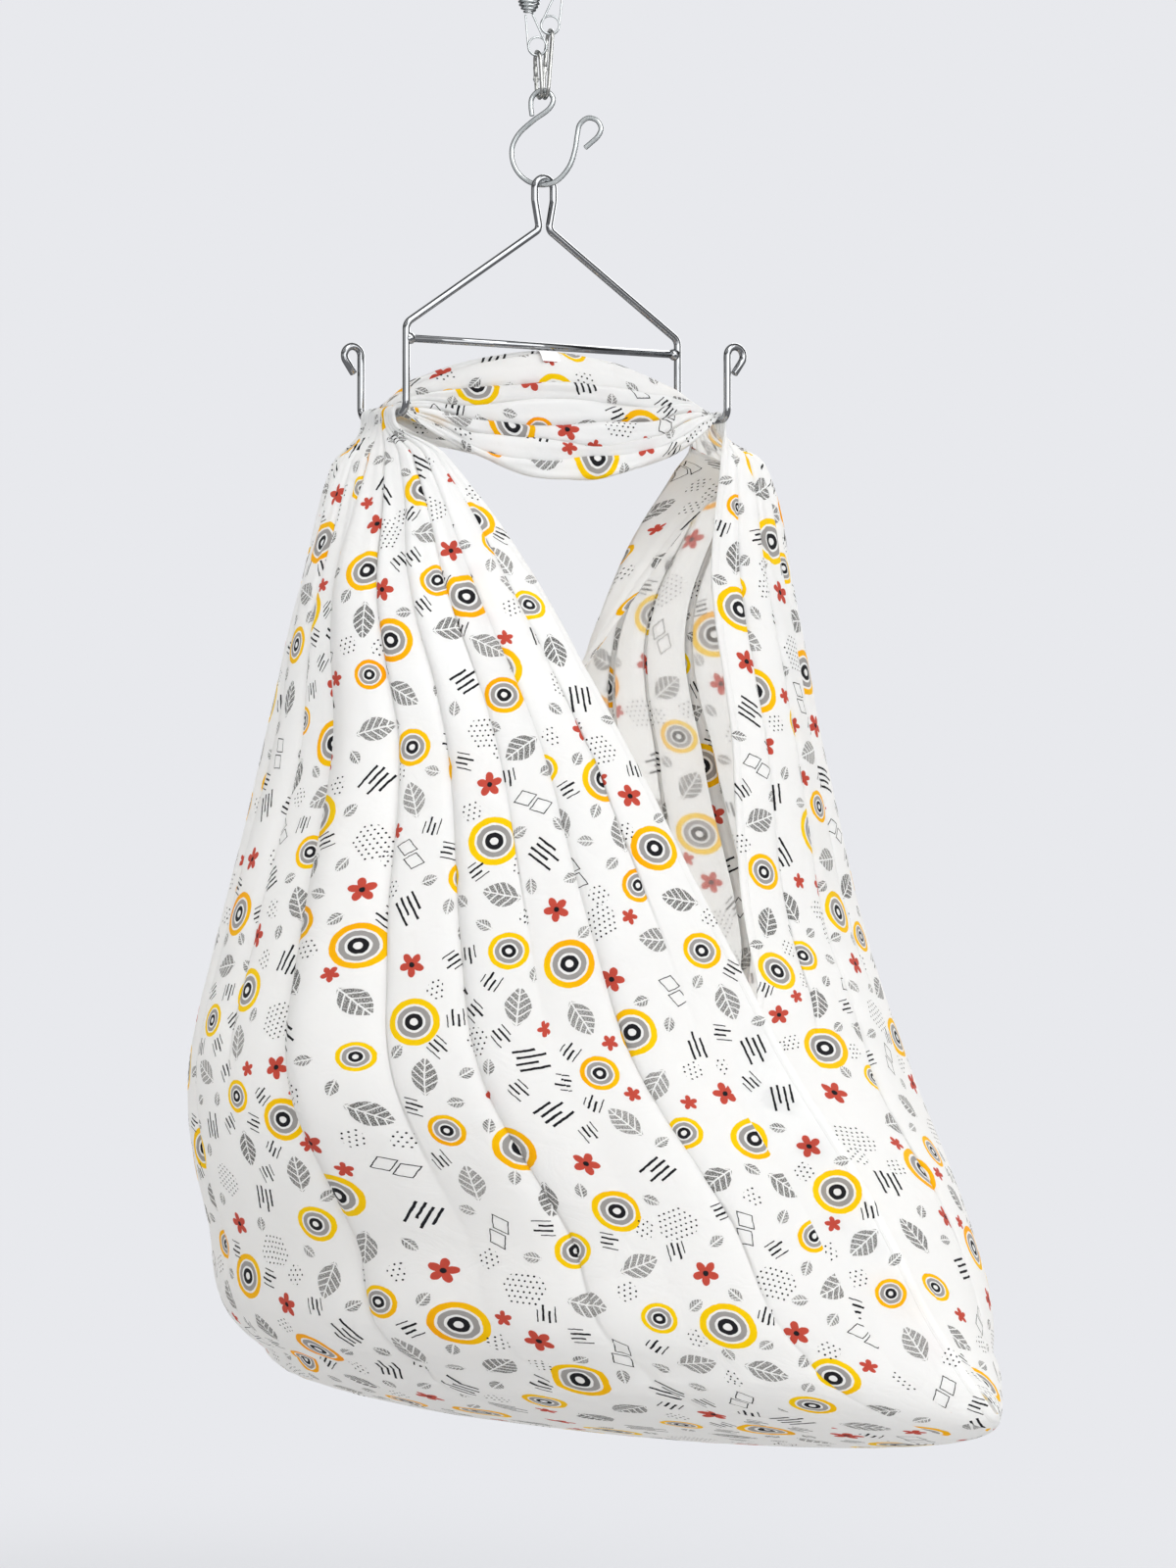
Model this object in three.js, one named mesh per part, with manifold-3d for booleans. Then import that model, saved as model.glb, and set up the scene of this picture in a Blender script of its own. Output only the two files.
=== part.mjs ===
// Hanging baby cradle: two coil springs carry a wire hook, a bent rod hanger and a sling of cotton.
// Millimetres, +Z up. The origin is where the two upper spring eyes hang on their support.
import * as THREE from "three";
import { mergeVertices } from "three/addons/utils/BufferGeometryUtils.js";
import Module from "manifold-3d";

// Clearances shared by all pieces
const SEAT_GAP = 0.3;
const OVERRUN = 6;

// Turn of the springs and of the sling against the hanger, seen from above
const VIEW_TURN = THREE.MathUtils.degToRad(-30);

// Springs: two alike, the left one stretched further than the right one
const SPRING_WIRE = 2.5;
const SPRING_OUTER = 24;
const SPRING_TURNS = 40;
const START_TURN_SHARE = 0.25;
const SPRING_PITCH_LEFT = 3.65;
const SPRING_PITCH_RIGHT = 3.05;
const SPRING_SPACING = 32;
const SPRING_STAGGER = 3.3;
const CONE_TURNS_SHARE = 0.09;
const CONE_END_SHARE = 0.34;
const CURL_STEPS = 8;
const CURL_SIDES = 5;
const EYE_SIDES = 8;
const END_LEAD = 0.5;

// Wire eyes at both ends of each spring
const EYE_RADIUS = 10;
const EYE_REACH = 34;
const EYE_TURNS = 1.5;
const EYE_TURN_LEAD = 3.9;
const EYE_STEPS = 26;
const EYE_WIRE_SPREAD_SHARE = 0.32;
const EYE_LEAN_LEFT = 9;
const EYE_LEAN_RIGHT = -9.5;

// Snap hooks: bent wire body, sprung gate and its pin
const SNAP_WIRE = 5;
const SNAP_WIDTH = 27;
const SNAP_TURN = THREE.MathUtils.degToRad(-75);
const SNAP_SHORT_INNER = 44;
const SNAP_FOOT_SPREAD = 6.6;
const SNAP_LOOSE_FOOT = 0.4;
const SNAP_SIDES = 10;
const SNAP_ARC_STEPS = 10;
const GATE_SHARE = 0.36;
const GATE_TOP_SHARE = 0.1;
const LUG_WIDTH_SHARE = 0.8;
const GATE_PIN = 1.8;
const GATE_LUG = 2;
const GATE_CLEARANCE = 0.35;
const GATE_HEEL = 1.3;
const PIN_HEAD = 3;
const PIN_HEAD_LENGTH = 0.8;

// S-shaped hook of zinc-plated wire
const S_WIRE = 6;
const S_WIDTH = 76;
const S_HEIGHT = 102;
const S_TURN = THREE.MathUtils.degToRad(-20);
const S_TOP_BEND = 8.4;
const S_APEX_SHARE = -0.0215;
const S_SIDES = 10;
const S_STEPS = 72;
const S_PATH_SHARES = [
  [-0.18, 0.74], [-0.195, 0.83], [-0.185, 0.915], [-0.12, 0.975], [-0.025, 1.0], [0.075, 0.972],
  [0.14, 0.9], [0.09, 0.81], [-0.17, 0.68], [-0.38, 0.55], [-0.475, 0.42], [-0.475, 0.28],
  [-0.39, 0.145], [-0.21, 0.035], [0, 0], [0.2, 0.04], [0.38, 0.18], [0.465, 0.35],
  [0.5, 0.505], [0.54, 0.62], [0.66, 0.68], [0.8, 0.645], [0.855, 0.56], [0.81, 0.485],
  [0.7, 0.415], [0.62, 0.37],
];

// Hanger: one rod bent into an eye, two sloping arms, two legs, two cradle bars and two hooks
const ROD = 8;
const HANGER_HALF = 168;
const EYE_TOP_RADIUS = 11.5;
const EYE_SPRING_SHARE = 0.4;
const EYE_SIDE_SHARE = 1.5;
const NECK_DROP = 48;
const NECK_HALF = 5.7;
const NECK_BEND = 8.4;
const ARM_DROP = 158;
const CROSSBAR_DROP = 174;
const BAR_DROP = 252;
const BAR_LENGTH = 102;
const HOOK_TOP_DROP = 174;
const HOOK_BEND = 10;
const HOOK_OPENING_TURN = 215;
const HOOK_TIP = 16;
const ROD_BEND = 12;
const ARM_BEND = 22;
const WELD_REACH = 5;
const WELD_FLARE = 1.8;
const ROD_SIDES = 10;
const BEND_STEPS = 6;
const HOOK_STEPS = 12;
const PIN_SIDES = 12;
const WELD_SIDES = 20;

// Sling: a tube of cotton gathered over the two cradle bars
const CLOTH = 1.2;
const SLING_HALF = 391;
const SLING_DROP = 1099;
const HEM_GAP = 3;
const BAR_MARGIN = 14;
const BAND_RISE = 66;
const BAND_SAG = 70;
const BAND_SPREAD = 46;
const WALL_FOLDS = 4;
const FOLD_DEPTH = 20;
const FOLD_REACH_SHARE = 0.8;
const FOLD_FADE_SHARE = 0.55;
const CLOSING_START_SHARE = 0.92;
const BAND_FOLD_DEPTH = 5;
const BAND_FOLDS = 4;
const BAND_SWELL_POWER = 0.8;
const BAND_ARCH_POWER = 0.7;
const BAR_TURN_STEP = 35;
const BAR_TURNS = [-1, 0, 1, 2, 3].map((step) => step * BAR_TURN_STEP);
const ACROSS_STEPS = 16;
const BAND_STEPS = 7;
// Rows: drop share, then centre, half chord and bulge as across and away pairs, then turn of the wrap
const LEFT_WALL_SHARES = [
  [0.0, -0.435, -0.105, 0.05, -0.09, -0.01, -0.01, 1],
  [0.044, -0.405, -0.065, 0.14, -0.205, -0.09, -0.06, 1],
  [0.17, -0.256, 0.0, 0.23, -0.405, -0.345, -0.28, 1],
  [0.332, -0.18, 0.0, 0.384, -0.55, -0.45, -0.33, 1],
  [0.513, -0.05, 0.0, 0.486, -0.65, -0.69, -0.435, 1],
  [0.649, 0.033, 0.0, 0.573, -0.71, -0.82, -0.5, 1],
  [0.793, 0.128, 0.0, 0.703, -0.91, -0.79, -0.41, 1],
  [0.92, 0.256, 0.0, 0.742, -1.05, -0.74, -0.36, 1],
  [1.0, 0.371, 0.0, 0.767, -1.125, 0.0, 0.0, 1],
];
const RIGHT_WALL_SHARES = [
  [0.0, 0.435, 0.105, 0.05, -0.09, 0.01, 0.01, 1],
  [0.044, 0.447, 0.077, 0.03, -0.16, 0.148, 0.026, 1.25],
  [0.17, 0.422, 0.05, 0.026, -0.27, 0.248, 0.026, 1.6],
  [0.332, 0.358, 0.026, 0.143, -0.36, 0.37, 0.18, 1.3],
  [0.513, 0.23, 0.0, 0.294, -0.486, 0.568, 0.384, 1.08],
  [0.649, 0.033, 0.0, 0.573, -0.71, 0.76, 0.48, 1],
  [0.793, 0.128, 0.0, 0.703, -0.91, 0.7, 0.38, 1],
  [0.92, 0.256, 0.0, 0.742, -1.05, 0.52, 0.23, 1],
  [1.0, 0.371, 0.0, 0.767, -1.125, 0.0, 0.0, 1],
];
const WALL_LEVEL_SHARES = [0.05, 0.12, 0.22, 0.36, 0.52, 0.67, 0.81, 0.92, 0.98];
const FRONT_CORNER_LIFT_SHARE = 0.0737;
const BACK_CORNER_LIFT_SHARE = 0.02;

// Bare label tab sewn to the band: it covers the given columns of the band's cloth
const TAB_WIDTH = 16;
const TAB_THICK = 0.8;
const TAB_COLUMNS = [7, 6, 5];

// Heights that follow from the sizes above
const springLength = (pitch) => SPRING_TURNS * pitch;
const upperEyeCentre = -(EYE_RADIUS - SPRING_WIRE / 2);
const springTop = upperEyeCentre - EYE_REACH;
const leftEyeCentre = springTop - springLength(SPRING_PITCH_LEFT) - EYE_REACH;
const rightEyeCentre = springTop - springLength(SPRING_PITCH_RIGHT) - EYE_REACH;
const leftEyeSeat = leftEyeCentre - EYE_RADIUS + SPRING_WIRE / 2;
const rightEyeSeat = rightEyeCentre - EYE_RADIUS + SPRING_WIRE / 2;
// Height that a curved wire loses between its middle and a place beside it
const sagitta = (radius, beside) => radius - Math.sqrt(radius * radius - beside * beside);
const snapInnerBend = SNAP_WIDTH / 2 - SNAP_WIRE;
const snapSeatRise =
  sagitta(EYE_RADIUS - SPRING_WIRE / 2, SNAP_WIRE / 2) + sagitta(snapInnerBend, (EYE_TURN_LEAD + SPRING_WIRE) / 2);
const snapInnerBottom = leftEyeSeat + snapSeatRise - SNAP_SHORT_INNER;
const sTopCentre =
  snapInnerBottom + SEAT_GAP + S_WIRE / 2 + sagitta(S_TOP_BEND, (SNAP_FOOT_SPREAD + SNAP_WIRE) / 2);
const sBottomCentre = sTopCentre - S_HEIGHT;
const hangerEyeTop = sBottomCentre + S_WIRE / 2 + SEAT_GAP + ROD / 2;
const hangerDatum = sBottomCentre;
const barHeight = hangerDatum - BAR_DROP;
const barWrap =
  (ROD / 2 + SEAT_GAP + CLOTH / 2) / Math.cos(THREE.MathUtils.degToRad(BAR_TURN_STEP / 2)) + SEAT_GAP;

const across = new THREE.Vector3(Math.cos(VIEW_TURN), Math.sin(VIEW_TURN), 0);
const away = new THREE.Vector3(-Math.sin(VIEW_TURN), Math.cos(VIEW_TURN), 0);
const up = new THREE.Vector3(0, 0, 1);

const zinc = new THREE.MeshStandardMaterial({ color: 0xc9d3d6, metalness: 1, roughness: 0.28 });
const chrome = new THREE.MeshStandardMaterial({ color: 0xd9dadd, metalness: 1, roughness: 0.12 });
const nickel = new THREE.MeshStandardMaterial({ color: 0x8f9694, metalness: 1, roughness: 0.32 });
const cotton = new THREE.MeshStandardMaterial({ color: 0xf7f6f1, metalness: 0, roughness: 0.9 });
const tape = new THREE.MeshStandardMaterial({ color: 0xfbfbfb, metalness: 0, roughness: 0.6 });

const wasm = await Module();
wasm.setup();

// A curve through stations that are kept as they are, so straight runs need no extra rings
class StationCurve extends THREE.Curve {
  constructor(stations) {
    super();
    this.stations = stations;
  }
  getPoint(share, target = new THREE.Vector3()) {
    const last = this.stations.length - 1;
    const place = Math.min(share, 1) * last;
    const index = Math.min(Math.floor(place), last - 1);
    return target.lerpVectors(this.stations[index], this.stations[index + 1], place - index);
  }
  getPointAt(share, target) {
    return this.getPoint(share, target);
  }
  getTangentAt(share, target = new THREE.Vector3()) {
    const last = this.stations.length - 1;
    const index = Math.round(share * last);
    const before = this.stations[Math.max(index - 1, 0)];
    const after = this.stations[Math.min(index + 1, last)];
    return target.subVectors(after, before).normalize();
  }
}

function roundSection(radius, sides) {
  const shape = new THREE.Shape();
  for (let i = 0; i < sides; i++) {
    const angle = (2 * Math.PI * i) / sides;
    const x = radius * Math.cos(angle);
    const y = radius * Math.sin(angle);
    if (i === 0) shape.moveTo(x, y);
    else shape.lineTo(x, y);
  }
  shape.closePath();
  return shape;
}

function rodAlong(stations, diameter, sides) {
  return new THREE.ExtrudeGeometry(roundSection(diameter / 2, sides), {
    steps: stations.length - 1,
    curveSegments: 1,
    bevelEnabled: false,
    extrudePath: new StationCurve(stations),
  });
}

// Stations of a bent rod: straight between the corners, an arc of the given radius at each corner
function bentRodStations(corners, radii, arcSteps) {
  const stations = [corners[0].clone()];
  for (let i = 1; i < corners.length - 1; i++) {
    const into = new THREE.Vector3().subVectors(corners[i], corners[i - 1]).normalize();
    const outOf = new THREE.Vector3().subVectors(corners[i + 1], corners[i]).normalize();
    const turn = into.angleTo(outOf);
    const setback = radii[i] * Math.tan(turn / 2);
    const start = corners[i].clone().addScaledVector(into, -setback);
    const inward = outOf.clone().addScaledVector(into, -outOf.dot(into)).normalize();
    for (let k = 0; k <= arcSteps; k++) {
      const angle = (turn * k) / arcSteps;
      stations.push(
        start
          .clone()
          .addScaledVector(into, radii[i] * Math.sin(angle))
          .addScaledVector(inward, radii[i] * (1 - Math.cos(angle))),
      );
    }
  }
  stations.push(corners[corners.length - 1].clone());
  return stations;
}

function solidFrom(geometry) {
  const bare = geometry.index ? geometry.toNonIndexed() : geometry.clone();
  bare.deleteAttribute("normal");
  bare.deleteAttribute("uv");
  const merged = mergeVertices(bare);
  return new wasm.Manifold(
    new wasm.Mesh({
      numProp: 3,
      vertProperties: merged.attributes.position.array,
      triVerts: new Uint32Array(merged.index.array),
    }),
  );
}

function geometryFrom(solid) {
  const mesh = solid.getMesh();
  const geometry = new THREE.BufferGeometry();
  geometry.setAttribute("position", new THREE.BufferAttribute(mesh.vertProperties, 3));
  geometry.setIndex(new THREE.BufferAttribute(mesh.triVerts, 1));
  return geometry;
}

function named(name, geometry, material) {
  const mesh = new THREE.Mesh(geometry, material);
  mesh.name = name;
  return mesh;
}

// Coil of one spring: close curls, drawn in to a cone at both ends, as one unbroken tube
function springCoil(pitch) {
  const meanRadius = (SPRING_OUTER - SPRING_WIRE) / 2;
  const rings = (SPRING_TURNS - START_TURN_SHARE) * CURL_STEPS;
  const centres = [];
  for (let i = 0; i <= rings; i++) {
    const share = i / rings;
    const fromEnd = Math.min(share, 1 - share) / CONE_TURNS_SHARE;
    const draw = fromEnd >= 1 ? 1 : Math.sin((fromEnd * Math.PI) / 2);
    const radius = meanRadius * (CONE_END_SHARE + (1 - CONE_END_SHARE) * draw);
    const angle = 2 * Math.PI * (i / CURL_STEPS + START_TURN_SHARE);
    centres.push(
      new THREE.Vector3(
        radius * Math.cos(angle),
        radius * Math.sin(angle),
        -share * (springLength(pitch) - SPRING_WIRE - END_LEAD) - (SPRING_WIRE + END_LEAD) / 2,
      ),
    );
  }
  reportLeastGap(centres, pitch);
  return tubeThrough(centres, SPRING_WIRE / 2, CURL_SIDES);
}

// Least clear distance between curls, measured on the tube's centre points
function reportLeastGap(centres, pitch) {
  let least = Infinity;
  for (let i = 0; i < centres.length; i++) {
    for (let k = i + CURL_STEPS / 2; k < Math.min(i + CURL_STEPS * 2, centres.length); k++) {
      least = Math.min(least, centres[i].distanceTo(centres[k]) - SPRING_WIRE);
    }
  }
  console.log("spring with pitch " + pitch + ": least gap between curls " + least.toFixed(2));
}

// Closed tube with one ring of points at each centre and a fan at each end
function tubeThrough(centres, radius, sides) {
  const positions = [];
  const index = [];
  centres.forEach((centre, i) => {
    const before = centres[Math.max(i - 1, 0)];
    const after = centres[Math.min(i + 1, centres.length - 1)];
    const along = new THREE.Vector3().subVectors(after, before).normalize();
    const side = new THREE.Vector3(centre.x, centre.y, 0).normalize();
    side.addScaledVector(along, -side.dot(along)).normalize();
    const rise = new THREE.Vector3().crossVectors(along, side);
    for (let k = 0; k < sides; k++) {
      const angle = (2 * Math.PI * k) / sides;
      const point = centre
        .clone()
        .addScaledVector(side, radius * Math.cos(angle))
        .addScaledVector(rise, radius * Math.sin(angle));
      positions.push(point.x, point.y, point.z);
    }
  });
  for (let i = 0; i < centres.length - 1; i++) {
    for (let k = 0; k < sides; k++) {
      const a = i * sides + k;
      const b = i * sides + ((k + 1) % sides);
      index.push(a, b, b + sides, a, b + sides, a + sides);
    }
  }
  const lastRing = (centres.length - 1) * sides;
  for (let k = 1; k < sides - 1; k++) {
    index.push(0, k + 1, k);
    index.push(lastRing, lastRing + k, lastRing + k + 1);
  }
  const geometry = new THREE.BufferGeometry();
  geometry.setAttribute("position", new THREE.Float32BufferAttribute(positions, 3));
  geometry.setIndex(index);
  return geometry;
}

// Wire eye of a spring end: two legs out of the cone and one and a half turns of ring
function springEye(lean) {
  const spread = (SPRING_OUTER / 2) * EYE_WIRE_SPREAD_SHARE;
  const side = Math.sign(lean) || 1;
  const foot = (SPRING_WIRE + END_LEAD) / 2;
  const stations = [new THREE.Vector3(-side * spread, foot, -SEAT_GAP)];
  for (let i = 0; i <= EYE_STEPS; i++) {
    const share = i / EYE_STEPS;
    const angle = Math.PI * (1 + 2 * EYE_TURNS * share);
    stations.push(
      new THREE.Vector3(
        lean + side * EYE_RADIUS * Math.cos(angle),
        EYE_TURNS * EYE_TURN_LEAD * (0.5 - share),
        -EYE_REACH + EYE_RADIUS * Math.sin(angle),
      ),
    );
  }
  stations.push(new THREE.Vector3(side * spread, -foot, -SEAT_GAP));
  return rodAlong(stations, SPRING_WIRE, EYE_SIDES);
}

// Body wire of a snap hook in its own plane, from the nose over the top to the gate's lug
function snapHookBody(innerHeight) {
  const half = (SNAP_WIDTH - SNAP_WIRE) / 2;
  const top = SNAP_WIRE / 2;
  const bottom = -innerHeight - SNAP_WIRE / 2;
  const gateTop = top - half - innerHeight * GATE_TOP_SHARE;
  const gateBottom = gateTop - innerHeight * GATE_SHARE;
  const pinHeight = gateBottom + SNAP_WIRE / 2;
  const stations = [new THREE.Vector3(-half, 0, gateTop + GATE_CLEARANCE)];
  for (let k = 0; k <= SNAP_ARC_STEPS; k++) {
    const angle = Math.PI * (1 - k / SNAP_ARC_STEPS);
    stations.push(new THREE.Vector3(half * Math.cos(angle), 0, top - half + half * Math.sin(angle)));
  }
  for (let k = 0; k <= SNAP_ARC_STEPS; k++) {
    const angle = (-Math.PI * k) / SNAP_ARC_STEPS;
    stations.push(new THREE.Vector3(half * Math.cos(angle), 0, bottom + half + half * Math.sin(angle)));
  }
  stations.push(new THREE.Vector3(-half, 0, gateBottom - GATE_HEEL));
  const wire = solidFrom(rodAlong(stations, SNAP_WIRE, SNAP_SIDES));
  const lug = new THREE.BoxGeometry(SNAP_WIRE * LUG_WIDTH_SHARE, GATE_LUG, SNAP_WIRE + OVERRUN);
  lug.translate(-half, 0, pinHeight - OVERRUN / 2);
  const body = wire.add(solidFrom(lug)).subtract(solidFrom(pinHole(half, pinHeight)));
  return { geometry: geometryFrom(body), half, gateTop, gateBottom, pinHeight };
}

// Hole for a gate's pin, through the lug and the gate's fork
function pinHole(half, pinHeight) {
  const radius = (GATE_PIN + GATE_CLEARANCE) / 2;
  const hole = new THREE.CylinderGeometry(radius, radius, SNAP_WIDTH, PIN_SIDES);
  hole.translate(-half, 0, pinHeight);
  return hole;
}

// Gate rod, forked at its lower end round the body's lug
function snapGate(body) {
  const stations = [
    new THREE.Vector3(-body.half, 0, body.gateBottom),
    new THREE.Vector3(-body.half, 0, body.gateTop - GATE_CLEARANCE / 2),
  ];
  const rod = solidFrom(rodAlong(stations, SNAP_WIRE, PIN_SIDES));
  const slot = new THREE.BoxGeometry(
    SNAP_WIRE + OVERRUN,
    GATE_LUG + 2 * GATE_CLEARANCE,
    2 * (SNAP_WIRE + 2 * GATE_CLEARANCE),
  );
  slot.translate(-body.half, 0, body.gateBottom);
  return geometryFrom(rod.subtract(solidFrom(slot)).subtract(solidFrom(pinHole(body.half, body.pinHeight))));
}

// Riveted pin of the gate, a head at each side
function gatePin(body) {
  const reach = SNAP_WIRE / 2 + SEAT_GAP;
  const profile = [
    new THREE.Vector2(0, -reach - PIN_HEAD_LENGTH),
    new THREE.Vector2(PIN_HEAD / 2, -reach - PIN_HEAD_LENGTH / 2),
    new THREE.Vector2(PIN_HEAD / 2, -reach),
    new THREE.Vector2(GATE_PIN / 2, -reach),
    new THREE.Vector2(GATE_PIN / 2, reach),
    new THREE.Vector2(PIN_HEAD / 2, reach),
    new THREE.Vector2(PIN_HEAD / 2, reach + PIN_HEAD_LENGTH / 2),
    new THREE.Vector2(0, reach + PIN_HEAD_LENGTH),
  ];
  const pin = new THREE.LatheGeometry(profile, PIN_SIDES);
  pin.translate(-body.half, 0, body.pinHeight);
  return pin;
}

// One snap hook as a group, hung from its seat in a spring eye down to its foot on the S-hook
function snapHook(name, seat, foot) {
  const body = snapHookBody(seat.distanceTo(foot));
  const group = new THREE.Group();
  group.add(named("snap_hook_" + name, body.geometry, nickel));
  group.add(named("snap_gate_" + name, snapGate(body), nickel));
  group.add(named("snap_gate_pin_" + name, gatePin(body), zinc));
  const tilt = new THREE.Quaternion().setFromUnitVectors(
    up,
    new THREE.Vector3().subVectors(seat, foot).normalize(),
  );
  const turn = new THREE.Quaternion().setFromAxisAngle(up, VIEW_TURN + SNAP_TURN);
  group.quaternion.multiplyQuaternions(tilt, turn);
  group.position.copy(seat);
  return group;
}

// S-shaped hook: small top loop, wide bottom bend, small loop at the free end
function sHook() {
  const bends = new THREE.CatmullRomCurve3(
    S_PATH_SHARES.map(([x, z]) => new THREE.Vector3(x * S_WIDTH, 0, z * S_HEIGHT)),
    false,
    "centripetal",
  );
  return new THREE.ExtrudeGeometry(roundSection(S_WIRE / 2, S_SIDES), {
    steps: S_STEPS,
    curveSegments: 1,
    bevelEnabled: false,
    extrudePath: bends,
  });
}

// One half of the hanger rod from the eye's top to a hook's tip; side is -1 on the left, 1 on the right
function hangerHalfCorners(side) {
  const x = side * HANGER_HALF;
  const y = -side * BAR_LENGTH;
  const bar = -BAR_DROP;
  return [
    new THREE.Vector3(side * EYE_TOP_RADIUS, 0, -EYE_TOP_RADIUS * EYE_SPRING_SHARE),
    new THREE.Vector3(side * EYE_TOP_RADIUS, 0, -EYE_TOP_RADIUS * EYE_SIDE_SHARE),
    new THREE.Vector3(side * NECK_HALF, 0, -NECK_DROP),
    new THREE.Vector3(x, 0, -ARM_DROP),
    new THREE.Vector3(x, 0, bar),
    new THREE.Vector3(x, y, bar),
    new THREE.Vector3(x, y, -HOOK_TOP_DROP - HOOK_BEND),
  ];
}

function hangerHalfStations(side) {
  const corners = hangerHalfCorners(side);
  const radii = [0, ARM_BEND, NECK_BEND, ROD_BEND, ROD_BEND, ROD_BEND, 0];
  const stations = bentRodStations(corners, radii, BEND_STEPS);
  const centre = corners[corners.length - 1].clone();
  centre.x += side * HOOK_BEND;
  const turn = THREE.MathUtils.degToRad(HOOK_OPENING_TURN);
  for (let k = 1; k <= HOOK_STEPS; k++) {
    const angle = (turn * k) / HOOK_STEPS;
    stations.push(
      new THREE.Vector3(
        centre.x - side * HOOK_BEND * Math.cos(angle),
        centre.y,
        centre.z + HOOK_BEND * Math.sin(angle),
      ),
    );
  }
  const end = stations[stations.length - 1];
  stations.push(
    new THREE.Vector3(
      end.x + side * HOOK_TIP * Math.sin(turn),
      end.y,
      end.z + HOOK_TIP * Math.cos(turn),
    ),
  );
  return stations;
}

function hangerRod() {
  const left = hangerHalfStations(-1).reverse();
  const right = hangerHalfStations(1);
  const topArc = [];
  const springLine = -EYE_TOP_RADIUS * EYE_SPRING_SHARE;
  const rise = hangerEyeTop - hangerDatum - springLine;
  for (let k = 1; k < HOOK_STEPS; k++) {
    const angle = Math.PI * (1 - k / HOOK_STEPS);
    topArc.push(
      new THREE.Vector3(EYE_TOP_RADIUS * Math.cos(angle), 0, springLine + rise * Math.sin(angle)),
    );
  }
  return rodAlong([...left, ...topArc, ...right], ROD, ROD_SIDES);
}

// Crossbar with a flared weld at each end, hollowed to the legs that it meets
function crossbar() {
  const half = HANGER_HALF;
  const radius = ROD / 2;
  const profile = [
    new THREE.Vector2(0, -half),
    new THREE.Vector2(radius + WELD_FLARE, -half),
    new THREE.Vector2(radius + WELD_FLARE, -half + WELD_REACH),
    new THREE.Vector2(radius, -half + 2 * WELD_REACH),
    new THREE.Vector2(radius, half - 2 * WELD_REACH),
    new THREE.Vector2(radius + WELD_FLARE, half - WELD_REACH),
    new THREE.Vector2(radius + WELD_FLARE, half),
    new THREE.Vector2(0, half),
  ];
  const bar = new THREE.LatheGeometry(profile, PIN_SIDES);
  bar.rotateZ(-Math.PI / 2);
  let solid = solidFrom(bar);
  for (const side of [-1, 1]) {
    const leg = new THREE.CylinderGeometry(radius + SEAT_GAP, radius + SEAT_GAP, ROD + OVERRUN, WELD_SIDES);
    leg.rotateX(Math.PI / 2);
    leg.translate(side * HANGER_HALF, 0, 0);
    solid = solid.subtract(solidFrom(leg));
  }
  return geometryFrom(solid);
}

// A row of a wall table at a drop share, on a smooth curve through the rows
function wallRow(rows, drop) {
  let index = 0;
  while (index < rows.length - 2 && rows[index + 1][0] < drop) index++;
  const [low, high] = [rows[index], rows[index + 1]];
  const before = rows[index - 1] || low;
  const after = rows[index + 2] || high;
  const span = high[0] - low[0];
  const share = Math.min(Math.max((drop - low[0]) / span, 0), 1);
  return low.map((value, k) => {
    const leaving = ((high[k] - before[k]) * span) / (high[0] - before[0]);
    const reaching = ((after[k] - value) * span) / (after[0] - low[0]);
    const bend = leaving * (1 - share) - reaching * share;
    const step = high[k] - value;
    return value + step * share + share * (1 - share) * (bend - step * (1 - 2 * share));
  });
}

// Depth of the folds at a drop share: none on the bar, most high up, faint near the bottom
function foldDepthAt(drop) {
  const reach = Math.sin(Math.PI * Math.min(drop / FOLD_REACH_SHARE, 1));
  return FOLD_DEPTH * reach * (1 - FOLD_FADE_SHARE * drop);
}

// A point of a wall: cross share 0 at the front hem and 1 at the back hem
function wallPoint(rows, side, drop, cross) {
  const [, centreU, centreW, edgeU, edgeW, bulgeU, bulgeW, wrap] = wallRow(rows, drop);
  const left = Math.min((1 - drop) / (1 - CLOSING_START_SHARE), 1);
  const fullness = left > 0 && left < 1 ? 1 / Math.sqrt(left) : 1;
  const bulge = Math.sin(Math.PI * cross * wrap) * fullness;
  const chord = Math.cos(Math.PI * cross * wrap);
  const outU = edgeU * chord + bulgeU * bulge;
  const outW = edgeW * chord + bulgeW * bulge;
  const fold = (foldDepthAt(drop) * Math.cos(2 * Math.PI * WALL_FOLDS * cross)) / Math.hypot(outU, outW);
  const part = drop < 1 ? side * HEM_GAP : 0;
  const lift = FRONT_CORNER_LIFT_SHARE * (1 - cross) ** 3 + BACK_CORNER_LIFT_SHARE * cross ** 3;
  return new THREE.Vector3()
    .addScaledVector(across, (centreU + outU) * SLING_HALF + outU * fold + part)
    .addScaledVector(away, (centreW + outW) * SLING_HALF + outW * fold)
    .setZ(barHeight - drop * SLING_DROP * (1 - lift));
}

// Place across the lane of a cradle bar, between its leg and its hook rod
function lanePlace(share, cross) {
  return -BAR_LENGTH * share + BAR_MARGIN + (BAR_LENGTH - 2 * BAR_MARGIN) * cross;
}

// The cloth round a cradle bar: turn 0 is on top of the bar and 90 degrees is on its outer side
function barPoint(side, turnDegrees, cross) {
  const turn = THREE.MathUtils.degToRad(turnDegrees);
  return new THREE.Vector3(
    side * (HANGER_HALF + barWrap * Math.sin(turn)),
    lanePlace((1 + side) / 2, cross),
    barHeight + barWrap * Math.cos(turn),
  );
}

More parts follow.
